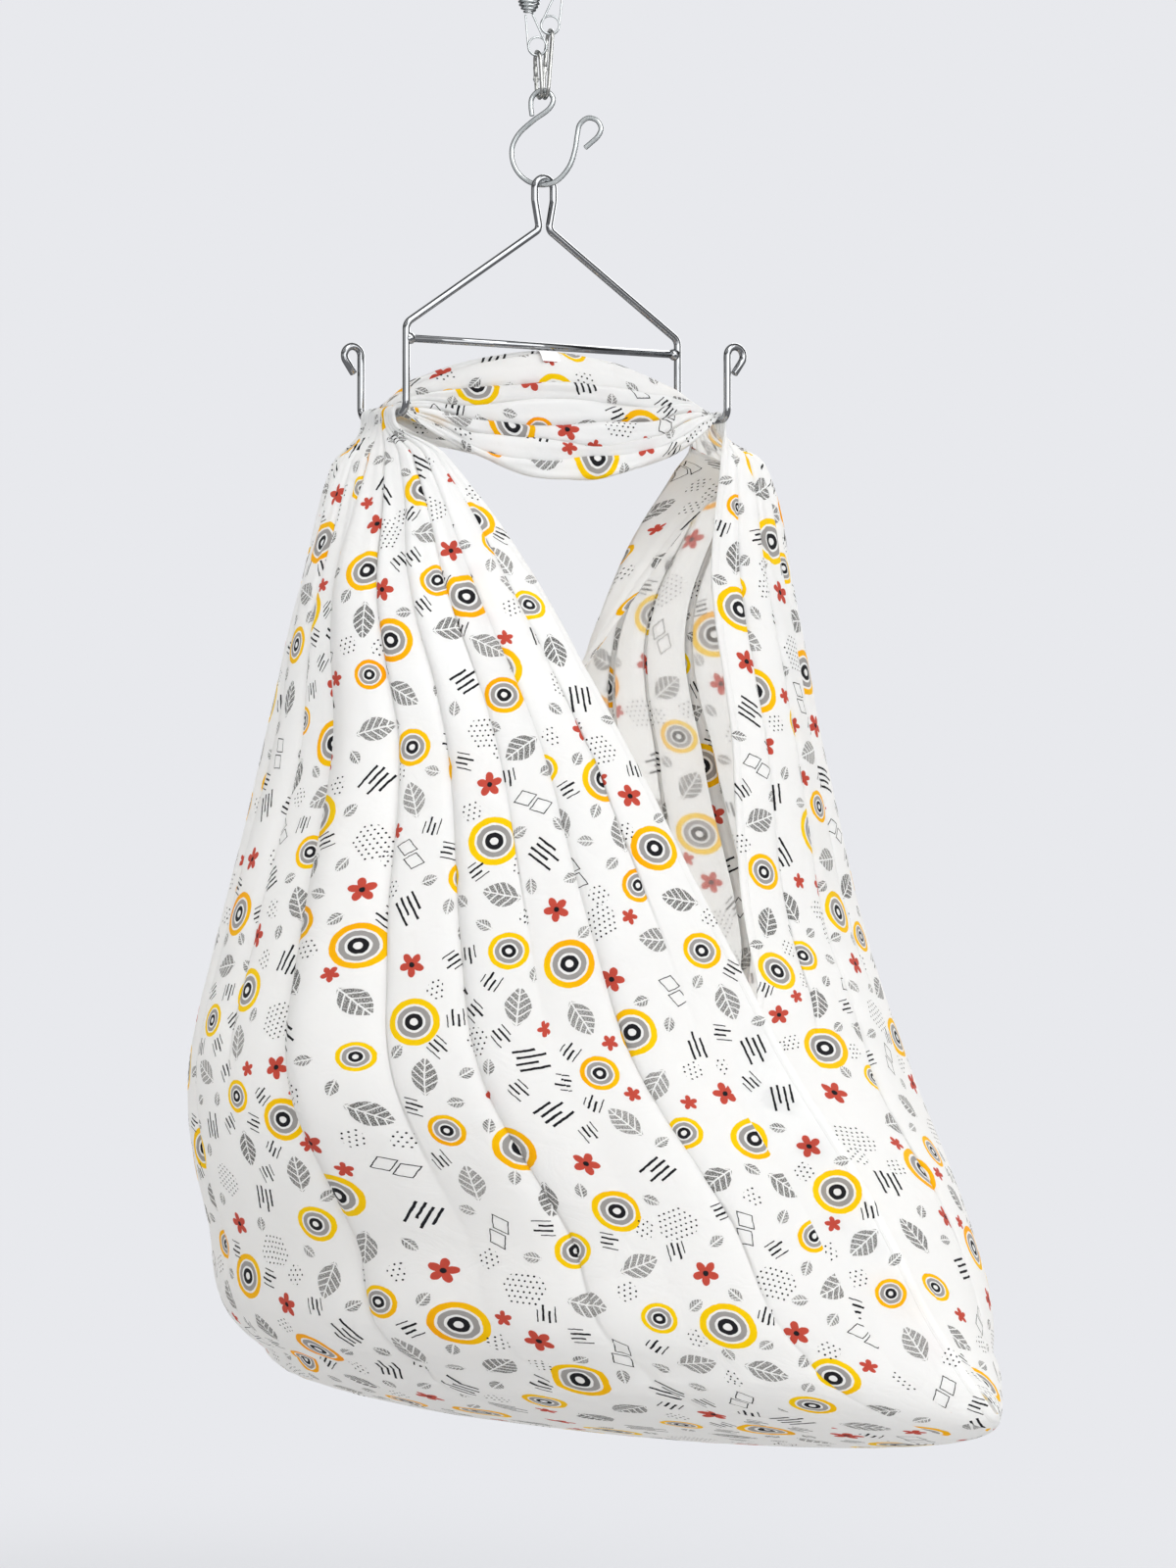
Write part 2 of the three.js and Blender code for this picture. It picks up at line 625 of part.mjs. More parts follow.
// The band across the top, from the left bar to the right bar
function bandPoint(share, cross) {
  const swell = Math.sin(Math.PI * share) ** BAND_SWELL_POWER;
  const arch = Math.sin(Math.PI * cross) ** BAND_ARCH_POWER;
  const fold = BAND_FOLD_DEPTH * swell * Math.cos(2 * Math.PI * BAND_FOLDS * cross);
  return new THREE.Vector3(
    HANGER_HALF * (2 * share - 1),
    lanePlace(share, cross) + (cross - 0.5) * BAND_SPREAD * swell + Math.sign(cross - 0.5) * fold,
    barHeight + barWrap + swell * (BAND_RISE * arch - BAND_SAG * (1 - arch)),
  );
}

// All rings of the tube of cloth, each a row of points from the front hem to the back hem
function slingRings() {
  const crosses = [];
  for (let k = 0; k <= ACROSS_STEPS; k++) crosses.push(k / ACROSS_STEPS);
  const rings = [];
  for (const turn of [...BAR_TURNS].reverse()) rings.push(crosses.map((c) => barPoint(-1, turn, c)));
  for (let i = 1; i < BAND_STEPS; i++) rings.push(crosses.map((c) => bandPoint(i / BAND_STEPS, c)));
  for (const turn of BAR_TURNS) rings.push(crosses.map((c) => barPoint(1, turn, c)));
  for (const drop of WALL_LEVEL_SHARES) {
    rings.push(crosses.map((c) => wallPoint(RIGHT_WALL_SHARES, 1, drop, c)));
  }
  rings.push(crosses.map((c) => wallPoint(LEFT_WALL_SHARES, 0, 1, c)));
  for (const drop of [...WALL_LEVEL_SHARES].reverse()) {
    rings.push(crosses.map((c) => wallPoint(LEFT_WALL_SHARES, -1, drop, c)));
  }
  return rings;
}

// Thickens a closed run of rings into a solid tube wall with two hems
function thickened(rings, thickness) {
  const ringCount = rings.length;
  const width = rings[0].length;
  const at = (i, k) => rings[(i + ringCount) % ringCount][Math.min(Math.max(k, 0), width - 1)];
  const positions = [];
  for (const face of [1, -1]) {
    for (let i = 0; i < ringCount; i++) {
      for (let k = 0; k < width; k++) {
        const along = new THREE.Vector3().subVectors(at(i + 1, k), at(i - 1, k));
        const over = new THREE.Vector3().subVectors(at(i, k + 1), at(i, k - 1));
        const normal = new THREE.Vector3().crossVectors(along, over).normalize();
        const point = at(i, k).clone().addScaledVector(normal, (face * thickness) / 2);
        positions.push(point.x, point.y, point.z);
      }
    }
  }
  const layer = ringCount * width;
  const outer = (i, k) => (i % ringCount) * width + k;
  const inner = (i, k) => layer + outer(i, k);
  const index = [];
  for (let i = 0; i < ringCount; i++) {
    for (let k = 0; k < width - 1; k++) {
      index.push(outer(i, k), outer(i + 1, k), outer(i + 1, k + 1));
      index.push(outer(i, k), outer(i + 1, k + 1), outer(i, k + 1));
      index.push(inner(i, k), inner(i + 1, k + 1), inner(i + 1, k));
      index.push(inner(i, k), inner(i, k + 1), inner(i + 1, k + 1));
    }
    index.push(outer(i, 0), inner(i, 0), inner(i + 1, 0));
    index.push(outer(i, 0), inner(i + 1, 0), outer(i + 1, 0));
    const last = width - 1;
    index.push(outer(i, last), inner(i + 1, last), inner(i, last));
    index.push(outer(i, last), outer(i + 1, last), inner(i + 1, last));
  }
  const geometry = new THREE.BufferGeometry();
  geometry.setAttribute("position", new THREE.Float32BufferAttribute(positions, 3));
  geometry.setIndex(index);
  return geometry;
}

// Label tab: a strip laid on the front of the band, parallel to its cloth
function labelTab() {
  const columnPoint = (step, column) => bandPoint((BAND_STEPS + step) / 2 / BAND_STEPS, column / ACROSS_STEPS);
  const along = new THREE.Vector3().subVectors(columnPoint(1, 0), columnPoint(-1, 0)).normalize();
  const layers = [CLOTH / 2 + 2 * SEAT_GAP, CLOTH / 2 + 2 * SEAT_GAP + TAB_THICK];
  const tab = new THREE.BoxGeometry(1, 1, 1, 1, 1, TAB_COLUMNS.length - 1);
  const place = tab.attributes.position;
  for (let i = 0; i < place.count; i++) {
    const column = TAB_COLUMNS[Math.round((place.getZ(i) + 0.5) * (TAB_COLUMNS.length - 1))];
    const middle = columnPoint(1, column).add(columnPoint(-1, column)).divideScalar(2);
    const over = new THREE.Vector3().subVectors(columnPoint(1, column + 1), columnPoint(1, column - 1));
    const normal = new THREE.Vector3().crossVectors(along, over).normalize();
    middle.addScaledVector(along, place.getX(i) * TAB_WIDTH);
    middle.addScaledVector(normal, layers[place.getY(i) > 0 ? 1 : 0]);
    place.setXYZ(i, middle.x, middle.y, middle.z);
  }
  return tab;
}

// Assembly
const cradle = new THREE.Group();

for (const [name, side, pitch, lean] of [
  ["left", -1, SPRING_PITCH_LEFT, EYE_LEAN_LEFT],
  ["right", 1, SPRING_PITCH_RIGHT, EYE_LEAN_RIGHT],
]) {
  const spring = new THREE.Group();
  const coil = named("spring_" + name, springCoil(pitch), zinc);
  coil.position.z = springTop;
  const lower = named("spring_eye_lower_" + name, springEye(lean), zinc);
  lower.position.z = springTop - springLength(pitch);
  const upper = named("spring_eye_upper_" + name, springEye(0), zinc);
  upper.rotation.set(Math.PI, 0, Math.PI / 2);
  upper.position.z = springTop;
  spring.add(coil, lower, upper);
  spring.position.copy(across).multiplyScalar((side * SPRING_SPACING) / 2);
  spring.position.addScaledVector(away, side * SPRING_STAGGER);
  spring.rotation.z = VIEW_TURN;
  cradle.add(spring);
}

const sDirection = new THREE.Vector3(Math.cos(VIEW_TURN + S_TURN), Math.sin(VIEW_TURN + S_TURN), 0);
for (const [name, side, lean, eyeSeat, slack] of [
  ["short", -1, EYE_LEAN_LEFT, leftEyeSeat, 0],
  ["long", 1, EYE_LEAN_RIGHT, rightEyeSeat, SNAP_LOOSE_FOOT],
]) {
  const seat = new THREE.Vector3(0, 0, eyeSeat + snapSeatRise)
    .addScaledVector(across, (side * SPRING_SPACING) / 2 + lean)
    .addScaledVector(away, side * SPRING_STAGGER);
  const foot = new THREE.Vector3(0, 0, snapInnerBottom - slack).addScaledVector(
    sDirection,
    (side * SNAP_FOOT_SPREAD) / 2 + S_APEX_SHARE * S_WIDTH,
  );
  cradle.add(snapHook(name, seat, foot));
}

const hook = named("s_hook", sHook(), zinc);
hook.position.z = sBottomCentre;
hook.rotation.z = VIEW_TURN + S_TURN;
cradle.add(hook);

const hanger = new THREE.Group();
hanger.position.z = hangerDatum;
hanger.add(named("hanger_rod", hangerRod(), chrome));
const bar = named("hanger_crossbar", crossbar(), chrome);
bar.position.z = -CROSSBAR_DROP;
hanger.add(bar);
cradle.add(hanger);

cradle.add(named("sling_cloth", thickened(slingRings(), CLOTH), cotton));
cradle.add(named("label_tab", labelTab(), tape));

export default cradle;
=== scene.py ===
"""Hanging baby cradle: two coil springs, snap hooks, an S-hook, a chromed hanger and a cotton sling."""
import math

import bmesh
import bpy
import numpy as np
from mathutils import Matrix, Vector, noise


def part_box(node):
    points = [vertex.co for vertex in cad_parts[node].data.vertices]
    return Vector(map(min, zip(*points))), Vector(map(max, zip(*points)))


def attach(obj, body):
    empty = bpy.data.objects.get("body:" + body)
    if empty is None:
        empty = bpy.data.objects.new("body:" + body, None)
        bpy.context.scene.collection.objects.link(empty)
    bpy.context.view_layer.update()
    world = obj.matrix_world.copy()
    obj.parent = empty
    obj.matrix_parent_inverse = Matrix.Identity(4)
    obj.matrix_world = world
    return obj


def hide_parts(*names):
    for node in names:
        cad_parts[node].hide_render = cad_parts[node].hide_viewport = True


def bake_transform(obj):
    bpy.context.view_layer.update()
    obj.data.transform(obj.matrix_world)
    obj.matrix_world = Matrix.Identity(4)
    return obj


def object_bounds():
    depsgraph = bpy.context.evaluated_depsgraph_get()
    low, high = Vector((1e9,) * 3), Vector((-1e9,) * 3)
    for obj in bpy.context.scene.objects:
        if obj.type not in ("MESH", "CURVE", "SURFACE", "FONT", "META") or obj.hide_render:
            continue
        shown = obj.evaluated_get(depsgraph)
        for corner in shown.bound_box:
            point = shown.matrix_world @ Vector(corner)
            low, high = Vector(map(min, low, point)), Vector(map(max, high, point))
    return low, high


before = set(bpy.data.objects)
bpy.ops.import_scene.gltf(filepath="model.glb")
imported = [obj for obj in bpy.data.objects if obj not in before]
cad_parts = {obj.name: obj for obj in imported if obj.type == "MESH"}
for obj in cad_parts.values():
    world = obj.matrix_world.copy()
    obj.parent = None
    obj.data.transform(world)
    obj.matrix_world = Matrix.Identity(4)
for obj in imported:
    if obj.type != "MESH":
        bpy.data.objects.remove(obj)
cad_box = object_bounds()


# Springs
# Two zinc-plated extension springs of round wire, wound close and drawn in to a cone at each end.
# The ends are bent out into double wire eyes. The real coil stretches when the cradle bounces; here it is one
# fixed mesh, and only the lower eyes hang on the spring ends.
SPRING_WIRE = 0.0025
SPRING_OUTER = 0.024
SPRING_TURNS = 39.75
START_TURN = 0.25
CONE_TURNS = 0.09
CONE_END = 0.34
END_LEAD = 0.0005
CURL_STEPS = 28
COIL_SIDES = 10
EYE_RADIUS = 0.01
EYE_REACH = 0.034
EYE_TURNS = 1.5
EYE_TURN_LEAD = 0.0039
EYE_STEPS = 72
EYE_SIDES = 12
EYE_WIRE_SPREAD = 0.32
EYE_LEANS = (0.009, -0.0095)
SEAT_GAP = 0.0003
WIRE_STEP = 0.001
WIRE_END = 0.4
END_RINGS = 4
LINK_SLACK = 0.435
MARK_DEPTH = 0.00001
MARK_STRENGTH = 0.15
# Painted reflection: round wire is painted towards this dark grey at its rim, over this range of facing
PAINTED_RIM_FACING = (0.1, 0.5)
ZINC = (0.80, 0.84, 0.85, 1)
ZINC_DULL = (0.62, 0.66, 0.67, 1)
PAINTED_RIM_SHADE = (0.05, 0.06, 0.065, 1)
# The hanger lies along X. across runs to the right in the photographed view, and away runs into it
VIEW_TURN = math.radians(-30)
across = Vector((math.cos(VIEW_TURN), math.sin(VIEW_TURN), 0))
away = Vector((-math.sin(VIEW_TURN), math.cos(VIEW_TURN), 0))
up = Vector((0, 0, 1))


def fill(tree, node, values):
    """Set the node's inputs, by name or number, to plain values, or link them to outputs."""
    for name, value in values.items():
        if isinstance(value, bpy.types.NodeSocket):
            tree.links.new(value, node.inputs[name])
        else:
            node.inputs[name].default_value = value
    return node


def add_node(tree, kind, values=None, **settings):
    """A new node with its settings, and then with its inputs filled."""
    node = tree.nodes.new(kind)
    for name, value in settings.items():
        setattr(node, name, value)
    return fill(tree, node, values or {})


def new_group(name, kind, inputs, outputs):
    """An empty node group with its input and output nodes; inputs are (name, type, default)."""
    tree = bpy.data.node_groups.new(name, kind)
    for socket_name, socket_kind, default in inputs:
        socket = tree.interface.new_socket(socket_name, in_out="INPUT", socket_type=socket_kind)
        if default is not None:
            socket.default_value = default
    for socket_name, socket_kind in outputs:
        tree.interface.new_socket(socket_name, in_out="OUTPUT", socket_type=socket_kind)
    return tree, tree.nodes.new("NodeGroupInput"), tree.nodes.new("NodeGroupOutput")


def new_material(name):
    material = bpy.data.materials.new(name)
    material.use_nodes = True
    return material, material.node_tree


def plating_group():
    """Patches and fine draw marks of plated wire: a mask of dull patches and a height of marks."""
    tree, inlet, outlet = new_group(
        "plating wear", "ShaderNodeTree",
        [("Patch Scale", "NodeSocketFloat", 60.0), ("Mark Scale", "NodeSocketFloat", 900.0)],
        [("Patches", "NodeSocketFloat"), ("Marks", "NodeSocketFloat")])
    place = add_node(tree, "ShaderNodeTexCoord").outputs["Object"]
    patches = add_node(tree, "ShaderNodeTexNoise", {
        "Vector": place, "Scale": inlet.outputs["Patch Scale"], "Detail": 5, "Roughness": 0.62})
    ramp = add_node(tree, "ShaderNodeValToRGB", {"Fac": patches.outputs["Fac"]})
    ramp.color_ramp.elements[0].position = 0.4
    ramp.color_ramp.elements[1].position = 0.72
    marks = add_node(tree, "ShaderNodeTexNoise", {
        "Vector": place, "Scale": inlet.outputs["Mark Scale"], "Detail": 2})
    fill(tree, outlet, {"Patches": ramp.outputs["Color"], "Marks": marks.outputs["Fac"]})
    return tree


plating = plating_group()


def plated_metal(name, bright, dull, metallic, rim, rough, rough_dull, patch_scale, mark_scale):
    """A plated metal whose dull patches are darker and rougher, with fine marks from the drawing die.

    rim is how far the wire's colour is painted darker towards its edge, a painted reflection of the dark of
    the room.
    """
    material, tree = new_material(name)
    wear = add_node(tree, "ShaderNodeGroup", {"Patch Scale": patch_scale, "Mark Scale": mark_scale},
                    node_tree=plating)
    patches = wear.outputs["Patches"]
    colour = add_node(tree, "ShaderNodeMix", {"Factor": patches, "A": bright, "B": dull}, data_type="RGBA")
    # Painted reflection: the colour is painted darker where the wire turns away, as if it mirrored the dark
    # of the room
    sideways = add_node(tree, "ShaderNodeLayerWeight")
    edge = add_node(tree, "ShaderNodeMapRange", {
        "Value": sideways.outputs["Facing"], "From Min": PAINTED_RIM_FACING[0], "From Max": PAINTED_RIM_FACING[1],
        "To Max": rim,
    }, interpolation_type="SMOOTHSTEP")
    shaded = add_node(tree, "ShaderNodeMix", {
        "Factor": edge.outputs["Result"], "A": colour.outputs["Result"], "B": PAINTED_RIM_SHADE,
    }, data_type="RGBA")
    roughness = add_node(tree, "ShaderNodeMapRange", {
        "Value": patches, "To Min": rough, "To Max": rough_dull})
    relief = add_node(tree, "ShaderNodeBump", {
        "Height": wear.outputs["Marks"], "Strength": MARK_STRENGTH, "Distance": MARK_DEPTH})
    fill(tree, tree.nodes["Principled BSDF"], {
        "Metallic": metallic, "Base Color": shaded.outputs["Result"],
        "Roughness": roughness.outputs["Result"], "Normal": relief.outputs["Normal"]})
    return material


zinc = plated_metal("zinc-plated wire", ZINC, ZINC_DULL, 0.7, 0.9, 0.2, 0.3, 70.0, 900.0)


def bent_wire_tree():
    """Round wire swept along a path of edges, with the path's taper for the domes at its ends."""
    tree, inlet, outlet = new_group("bent wire", "GeometryNodeTree", [
        ("Path", "NodeSocketGeometry", None), ("Radius", "NodeSocketFloat", 0.001),
        ("Sides", "NodeSocketInt", 12), ("Finish", "NodeSocketMaterial", None),
    ], [("Wire", "NodeSocketGeometry")])
    taper = add_node(tree, "GeometryNodeInputNamedAttribute", {"Name": "taper"})
    size = add_node(tree, "ShaderNodeMath", {0: inlet.outputs["Radius"], 1: taper.outputs["Attribute"]},
                    operation="MULTIPLY")
    path = add_node(tree, "GeometryNodeMeshToCurve", {"Mesh": inlet.outputs["Path"]})
    circle = add_node(tree, "GeometryNodeCurvePrimitiveCircle", {
        "Resolution": inlet.outputs["Sides"], "Radius": 1.0})
    swept = add_node(tree, "GeometryNodeCurveToMesh", {
        "Curve": path.outputs["Curve"], "Profile Curve": circle.outputs["Curve"],
        "Scale": size.outputs["Value"], "Fill Caps": True})
    whole = add_node(tree, "GeometryNodeRealizeInstances", {"Geometry": swept.outputs["Mesh"]})
    finished = add_node(tree, "GeometryNodeSetMaterial", {
        "Geometry": whole.outputs["Geometry"], "Material": inlet.outputs["Finish"]})
    fill(tree, outlet, {"Wire": finished.outputs["Geometry"]})
    return tree


bent_wire = bent_wire_tree()


def wire_mesh(name, centres, radius, sides, finish, rounded=0.0):
    """Wire bent through the centres; rounded is the height of its end domes as a share of the radius."""
    path, tapers = [Vector(c) for c in centres], [1.0] * len(centres)
    start, end = path[0], path[-1]
    before, beyond = (start - path[1]).normalized(), (end - path[-2]).normalized()
    for k in range(1, END_RINGS + 1 if rounded else 1):
        angle = math.pi / 2 * k / (END_RINGS + 0.35)
        reach = radius * rounded * math.sin(angle)
        path = [start + before * reach] + path + [end + beyond * reach]
        tapers = [math.cos(angle)] + tapers + [math.cos(angle)]
    edges = bpy.data.meshes.new(name)
    edges.from_pydata(path, [(i, i + 1) for i in range(len(path) - 1)], [])
    edges.attributes.new("taper", "FLOAT", "POINT").data.foreach_set("value", tapers)
    wire = bpy.data.objects.new(name, edges)
    bpy.context.collection.objects.link(wire)
    modifier = wire.modifiers.new("bent wire", "NODES")
    modifier.node_group = bent_wire
    values = {"Radius": radius, "Sides": sides, "Finish": finish}
    for socket in bent_wire.interface.items_tree:
        if socket.name in values:
            modifier[socket.identifier] = values[socket.name]
    evaluated = wire.evaluated_get(bpy.context.evaluated_depsgraph_get())
    mesh = bpy.data.meshes.new_from_object(evaluated)
    # Without the marks on its rims, each end is shaded on from the wire
    for spent in ("taper", "sharp_edge"):
        mesh.attributes.remove(mesh.attributes[spent])
    for face in mesh.polygons:
        face.use_smooth = len(face.vertices) == 4
    bpy.data.objects.remove(wire)
    return mesh


def add_piece(name, mesh, finish, slot):
    """A piece in the scene, with its finish unless its mesh has one; slot, the slot it belongs to, is not
    used.
    """
    piece = bpy.data.objects.new(name, mesh)
    bpy.context.collection.objects.link(piece)
    if not mesh.materials:
        mesh.materials.append(finish)
    return piece


def coil_centres(length):
    """Centres of one coil's wire in its own frame, hanging down from zero."""
    mean = (SPRING_OUTER - SPRING_WIRE) / 2
    count = round(SPRING_TURNS * CURL_STEPS)
    centres = []
    for i in range(count + 1):
        share = i / count
        from_end = min(share, 1 - share) / CONE_TURNS
        draw = 1 if from_end >= 1 else math.sin(from_end * math.pi / 2)
        radius = mean * (CONE_END + (1 - CONE_END) * draw)
        angle = 2 * math.pi * (i / CURL_STEPS + START_TURN)
        drop = share * (length - SPRING_WIRE - END_LEAD) + (SPRING_WIRE + END_LEAD) / 2
        centres.append(Vector((radius * math.cos(angle), radius * math.sin(angle), -drop)))
    return centres


def eye_centres(lean):
    """Centres of one double eye's wire in its own frame, hanging down from zero, evenly filled in."""
    spread = SPRING_OUTER / 2 * EYE_WIRE_SPREAD
    side = -1 if lean < 0 else 1
    foot = (SPRING_WIRE + END_LEAD) / 2
    centres = [Vector((-side * spread, foot, -SEAT_GAP))]
    for i in range(EYE_STEPS + 1):
        share = i / EYE_STEPS
        angle = math.pi * (1 + 2 * EYE_TURNS * share)
        centres.append(Vector((
            lean + side * EYE_RADIUS * math.cos(angle), EYE_TURNS * EYE_TURN_LEAD * (0.5 - share),
            -EYE_REACH + EYE_RADIUS * math.sin(angle))))
    centres.append(Vector((side * spread, -foot, -SEAT_GAP)))
    filled = []
    for a, b in zip(centres, centres[1:]):
        steps = max(1, round((b - a).length / WIRE_STEP))
        filled += [a.lerp(b, k / steps) for k in range(steps)]
    filled.append(centres[-1])
    # The corners are rounded by averaging
    for _ in range(3):
        inner = [(a + b * 2 + c) / 4 for a, b, c in zip(filled, filled[1:], filled[2:])]
        filled = [filled[0]] + inner + [filled[-1]]
    return filled


for name, lean in zip(("left", "right"), EYE_LEANS):
    low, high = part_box("spring_" + name)
    spring_top = -(EYE_RADIUS - SPRING_WIRE / 2) - EYE_REACH
    spring_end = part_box("spring_eye_lower_" + name)[1][2] + SEAT_GAP
    middle = Vector(((low[0] + high[0]) / 2, (low[1] + high[1]) / 2, 0))
    turned = Matrix.Rotation(VIEW_TURN, 4, "Z")
    flipped = turned @ Matrix.Rotation(math.pi / 2, 4, "Z") @ Matrix.Rotation(math.pi, 4, "X")
    line = [turned @ p + middle + up * spring_top for p in coil_centres(spring_top - spring_end)]
    piece = add_piece("spring_coil_" + name, wire_mesh(
        "spring_coil", line, SPRING_WIRE / 2, COIL_SIDES, zinc, WIRE_END), zinc, "zinc_wire")
    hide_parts("spring_" + name)
    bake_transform(piece)
    line = [turned @ p + middle + up * spring_end for p in eye_centres(lean)]
    piece = add_piece("spring_eye_low_" + name, wire_mesh(
        "spring_eye", line, SPRING_WIRE * LINK_SLACK, EYE_SIDES, zinc, WIRE_END), zinc, "zinc_wire")
    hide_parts("spring_eye_lower_" + name)
    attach(piece, "spring_ends")
    line = [flipped @ p + middle + up * spring_top for p in eye_centres(0)]
    piece = add_piece("spring_eye_top_" + name, wire_mesh(
        "spring_eye", line, SPRING_WIRE / 2, EYE_SIDES, zinc, WIRE_END), zinc, "zinc_wire")
    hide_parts("spring_eye_upper_" + name)
    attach(piece, "root")


# Snap hooks
# Two hooks of bent nickel-plated wire with a sprung rod gate that turns on a riveted pin.
# Each hangs in a spring's lower eye, and both hold the top of the S-hook.
SNAP_WIRE = 0.005
SNAP_HALF = 0.011
SNAP_SHORT_INNER = 0.044
SNAP_RISE = 0.00099
SNAP_TURN = math.radians(-75)
SNAP_SIDES = 20
BEND_STEPS = 28
SEAT_SHORT = -0.2315
SEAT_LONG = -0.2075
FOOT_SPREAD = 0.0066
FOOT_SHIFT = -0.001634
FOOT_SLACK = 0.0004
GATE_TOP = 0.1
GATE_SHARE = 0.36
GATE_CLEARANCE = 0.00035
GATE_FOOT = 0.0035
WIRE_PAST_GATE = 0.0013
LUG_SIZE = (0.004, 0.002, 0.0085)
LUG_EDGE = 0.0006
LUG_DROP = 0.0017
CHEEK_WIRE = 0.0017
CHEEK_OUT = 0.00055
CHEEK_ENDS = (-0.0024, 0.0042)
PIN_WIRE = 0.0018
PIN_EDGE = 0.0001
PIN_HEAD = 0.003
HEAD_THICK = 0.0008
HEAD_EDGE = 0.00035
SPRING_SPACING = 0.032
SPRING_STAGGER = 0.0033
NICKEL = (0.68, 0.69, 0.67, 1)
NICKEL_DULL = (0.56, 0.56, 0.54, 1)
S_DIRECTION = Vector((math.cos(math.radians(-50)), math.sin(math.radians(-50)), 0))

nickel = plated_metal("nickel-plated wire", NICKEL, NICKEL_DULL, 1.0, 0.5, 0.2, 0.3, 90.0, 900.0)


def as_mesh(name, shape):
    """The mesh of a bmesh, which is freed."""
    mesh = bpy.data.meshes.new(name)
    shape.to_mesh(mesh)
    shape.free()
    return mesh


def joined(parts):
    """One mesh from several closed meshes."""
    whole = bmesh.new()
    for part in parts:
        whole.from_mesh(part)
    return as_mesh("joined", whole)


def rounded_cylinder(size, length, bevel, place):
    """A cylinder along Y with rounded rims."""
    shape = bmesh.new()
    bmesh.ops.create_cone(shape, cap_ends=True, segments=28, radius1=size / 2, radius2=size / 2, depth=length)
    rims = [e for e in shape.edges if abs(e.verts[0].co.z - e.verts[1].co.z) < 1e-7]
    bmesh.ops.bevel(shape, geom=rims, offset=bevel, segments=3, affect="EDGES")
    bmesh.ops.rotate(shape, verts=shape.verts, matrix=Matrix.Rotation(math.pi / 2, 3, "X"))
    bmesh.ops.translate(shape, verts=shape.verts, vec=place)
    for face in shape.faces:
        face.smooth = len(face.verts) == 4
    return as_mesh("cylinder", shape)


def half_turn(start, height):
    """Half a turn of a snap hook's bend, clockwise from an angle, about a point at the height."""
    angles = [start - math.pi * k / BEND_STEPS for k in range(BEND_STEPS + 1)]
    return [Vector((SNAP_HALF * math.cos(a), 0, height + SNAP_HALF * math.sin(a))) for a in angles]


for name, side, lean, seat_height, slack in (
        ("short", -1, EYE_LEANS[0], SEAT_SHORT, 0), ("long", 1, EYE_LEANS[1], SEAT_LONG, FOOT_SLACK)):
    seat = across * (side * SPRING_SPACING / 2 + lean) + away * side * SPRING_STAGGER
    seat += up * (seat_height + SNAP_RISE)
    foot = S_DIRECTION * (side * FOOT_SPREAD / 2 + FOOT_SHIFT)
    foot += up * (SEAT_SHORT + SNAP_RISE - SNAP_SHORT_INNER - slack)
    inner = (seat - foot).length
    top, bottom = SNAP_WIRE / 2, -inner - SNAP_WIRE / 2
    gate_top = top - SNAP_HALF - inner * GATE_TOP
    gate_bottom = gate_top - inner * GATE_SHARE
    pin = Vector((-SNAP_HALF, 0, gate_bottom + SNAP_WIRE / 2))
    line = [Vector((-SNAP_HALF, 0, gate_top + GATE_CLEARANCE))]
    line += half_turn(math.pi, top - SNAP_HALF) + half_turn(0, bottom + SNAP_HALF)
    line.append(Vector((-SNAP_HALF, 0, gate_bottom - WIRE_PAST_GATE)))
    lug = bmesh.new()
    bmesh.ops.create_cube(lug, size=1)
    bmesh.ops.scale(lug, verts=lug.verts, vec=LUG_SIZE)
    bmesh.ops.bevel(lug, geom=lug.edges[:], offset=LUG_EDGE, segments=3, affect="EDGES")
    bmesh.ops.translate(lug, verts=lug.verts, vec=pin - up * LUG_DROP)
    hook = [wire_mesh("hook", line, SNAP_WIRE * LINK_SLACK, SNAP_SIDES, nickel, 0.25), as_mesh("lug", lug)]
    gate_line = [pin + up * GATE_FOOT, Vector((-SNAP_HALF, 0, gate_top - GATE_CLEARANCE / 2))]
    gate = [wire_mesh("gate", gate_line, SNAP_WIRE / 2, SNAP_SIDES, nickel, 0.3)]
    rivet = [rounded_cylinder(PIN_WIRE, SNAP_WIRE, PIN_EDGE, pin)]
    for front in (1, -1):
        out = front * (LUG_SIZE[1] / 2 + GATE_CLEARANCE + CHEEK_OUT)
        cheek = [pin + Vector((0, out, z)) for z in CHEEK_ENDS]
        gate.append(wire_mesh("cheek", cheek, CHEEK_WIRE / 2, 12, nickel, 0.9))
        head = pin + Vector((0, front * (SNAP_WIRE + HEAD_THICK) / 2, 0))
        rivet.append(rounded_cylinder(PIN_HEAD, HEAD_THICK, HEAD_EDGE, head))
    tilt = up.rotation_difference((seat - foot).normalized()).to_matrix().to_4x4()
    placed = Matrix.Translation(seat) @ tilt @ Matrix.Rotation(VIEW_TURN + SNAP_TURN, 4, "Z")
    for prefix, parts, finish, slot, body in (
            ("snap_hook_", hook, nickel, "nickel_wire", "snap_" + name),
            ("snap_gate_", gate, nickel, "nickel_wire", "gate_" + name),
            ("snap_gate_pin_", rivet, zinc, "zinc_wire", "snap_" + name)):
        mesh = joined(parts)
        mesh.transform(placed)
        piece = add_piece(prefix + name + "_smooth", mesh, finish, slot)
        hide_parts(prefix + name)
        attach(piece, body)


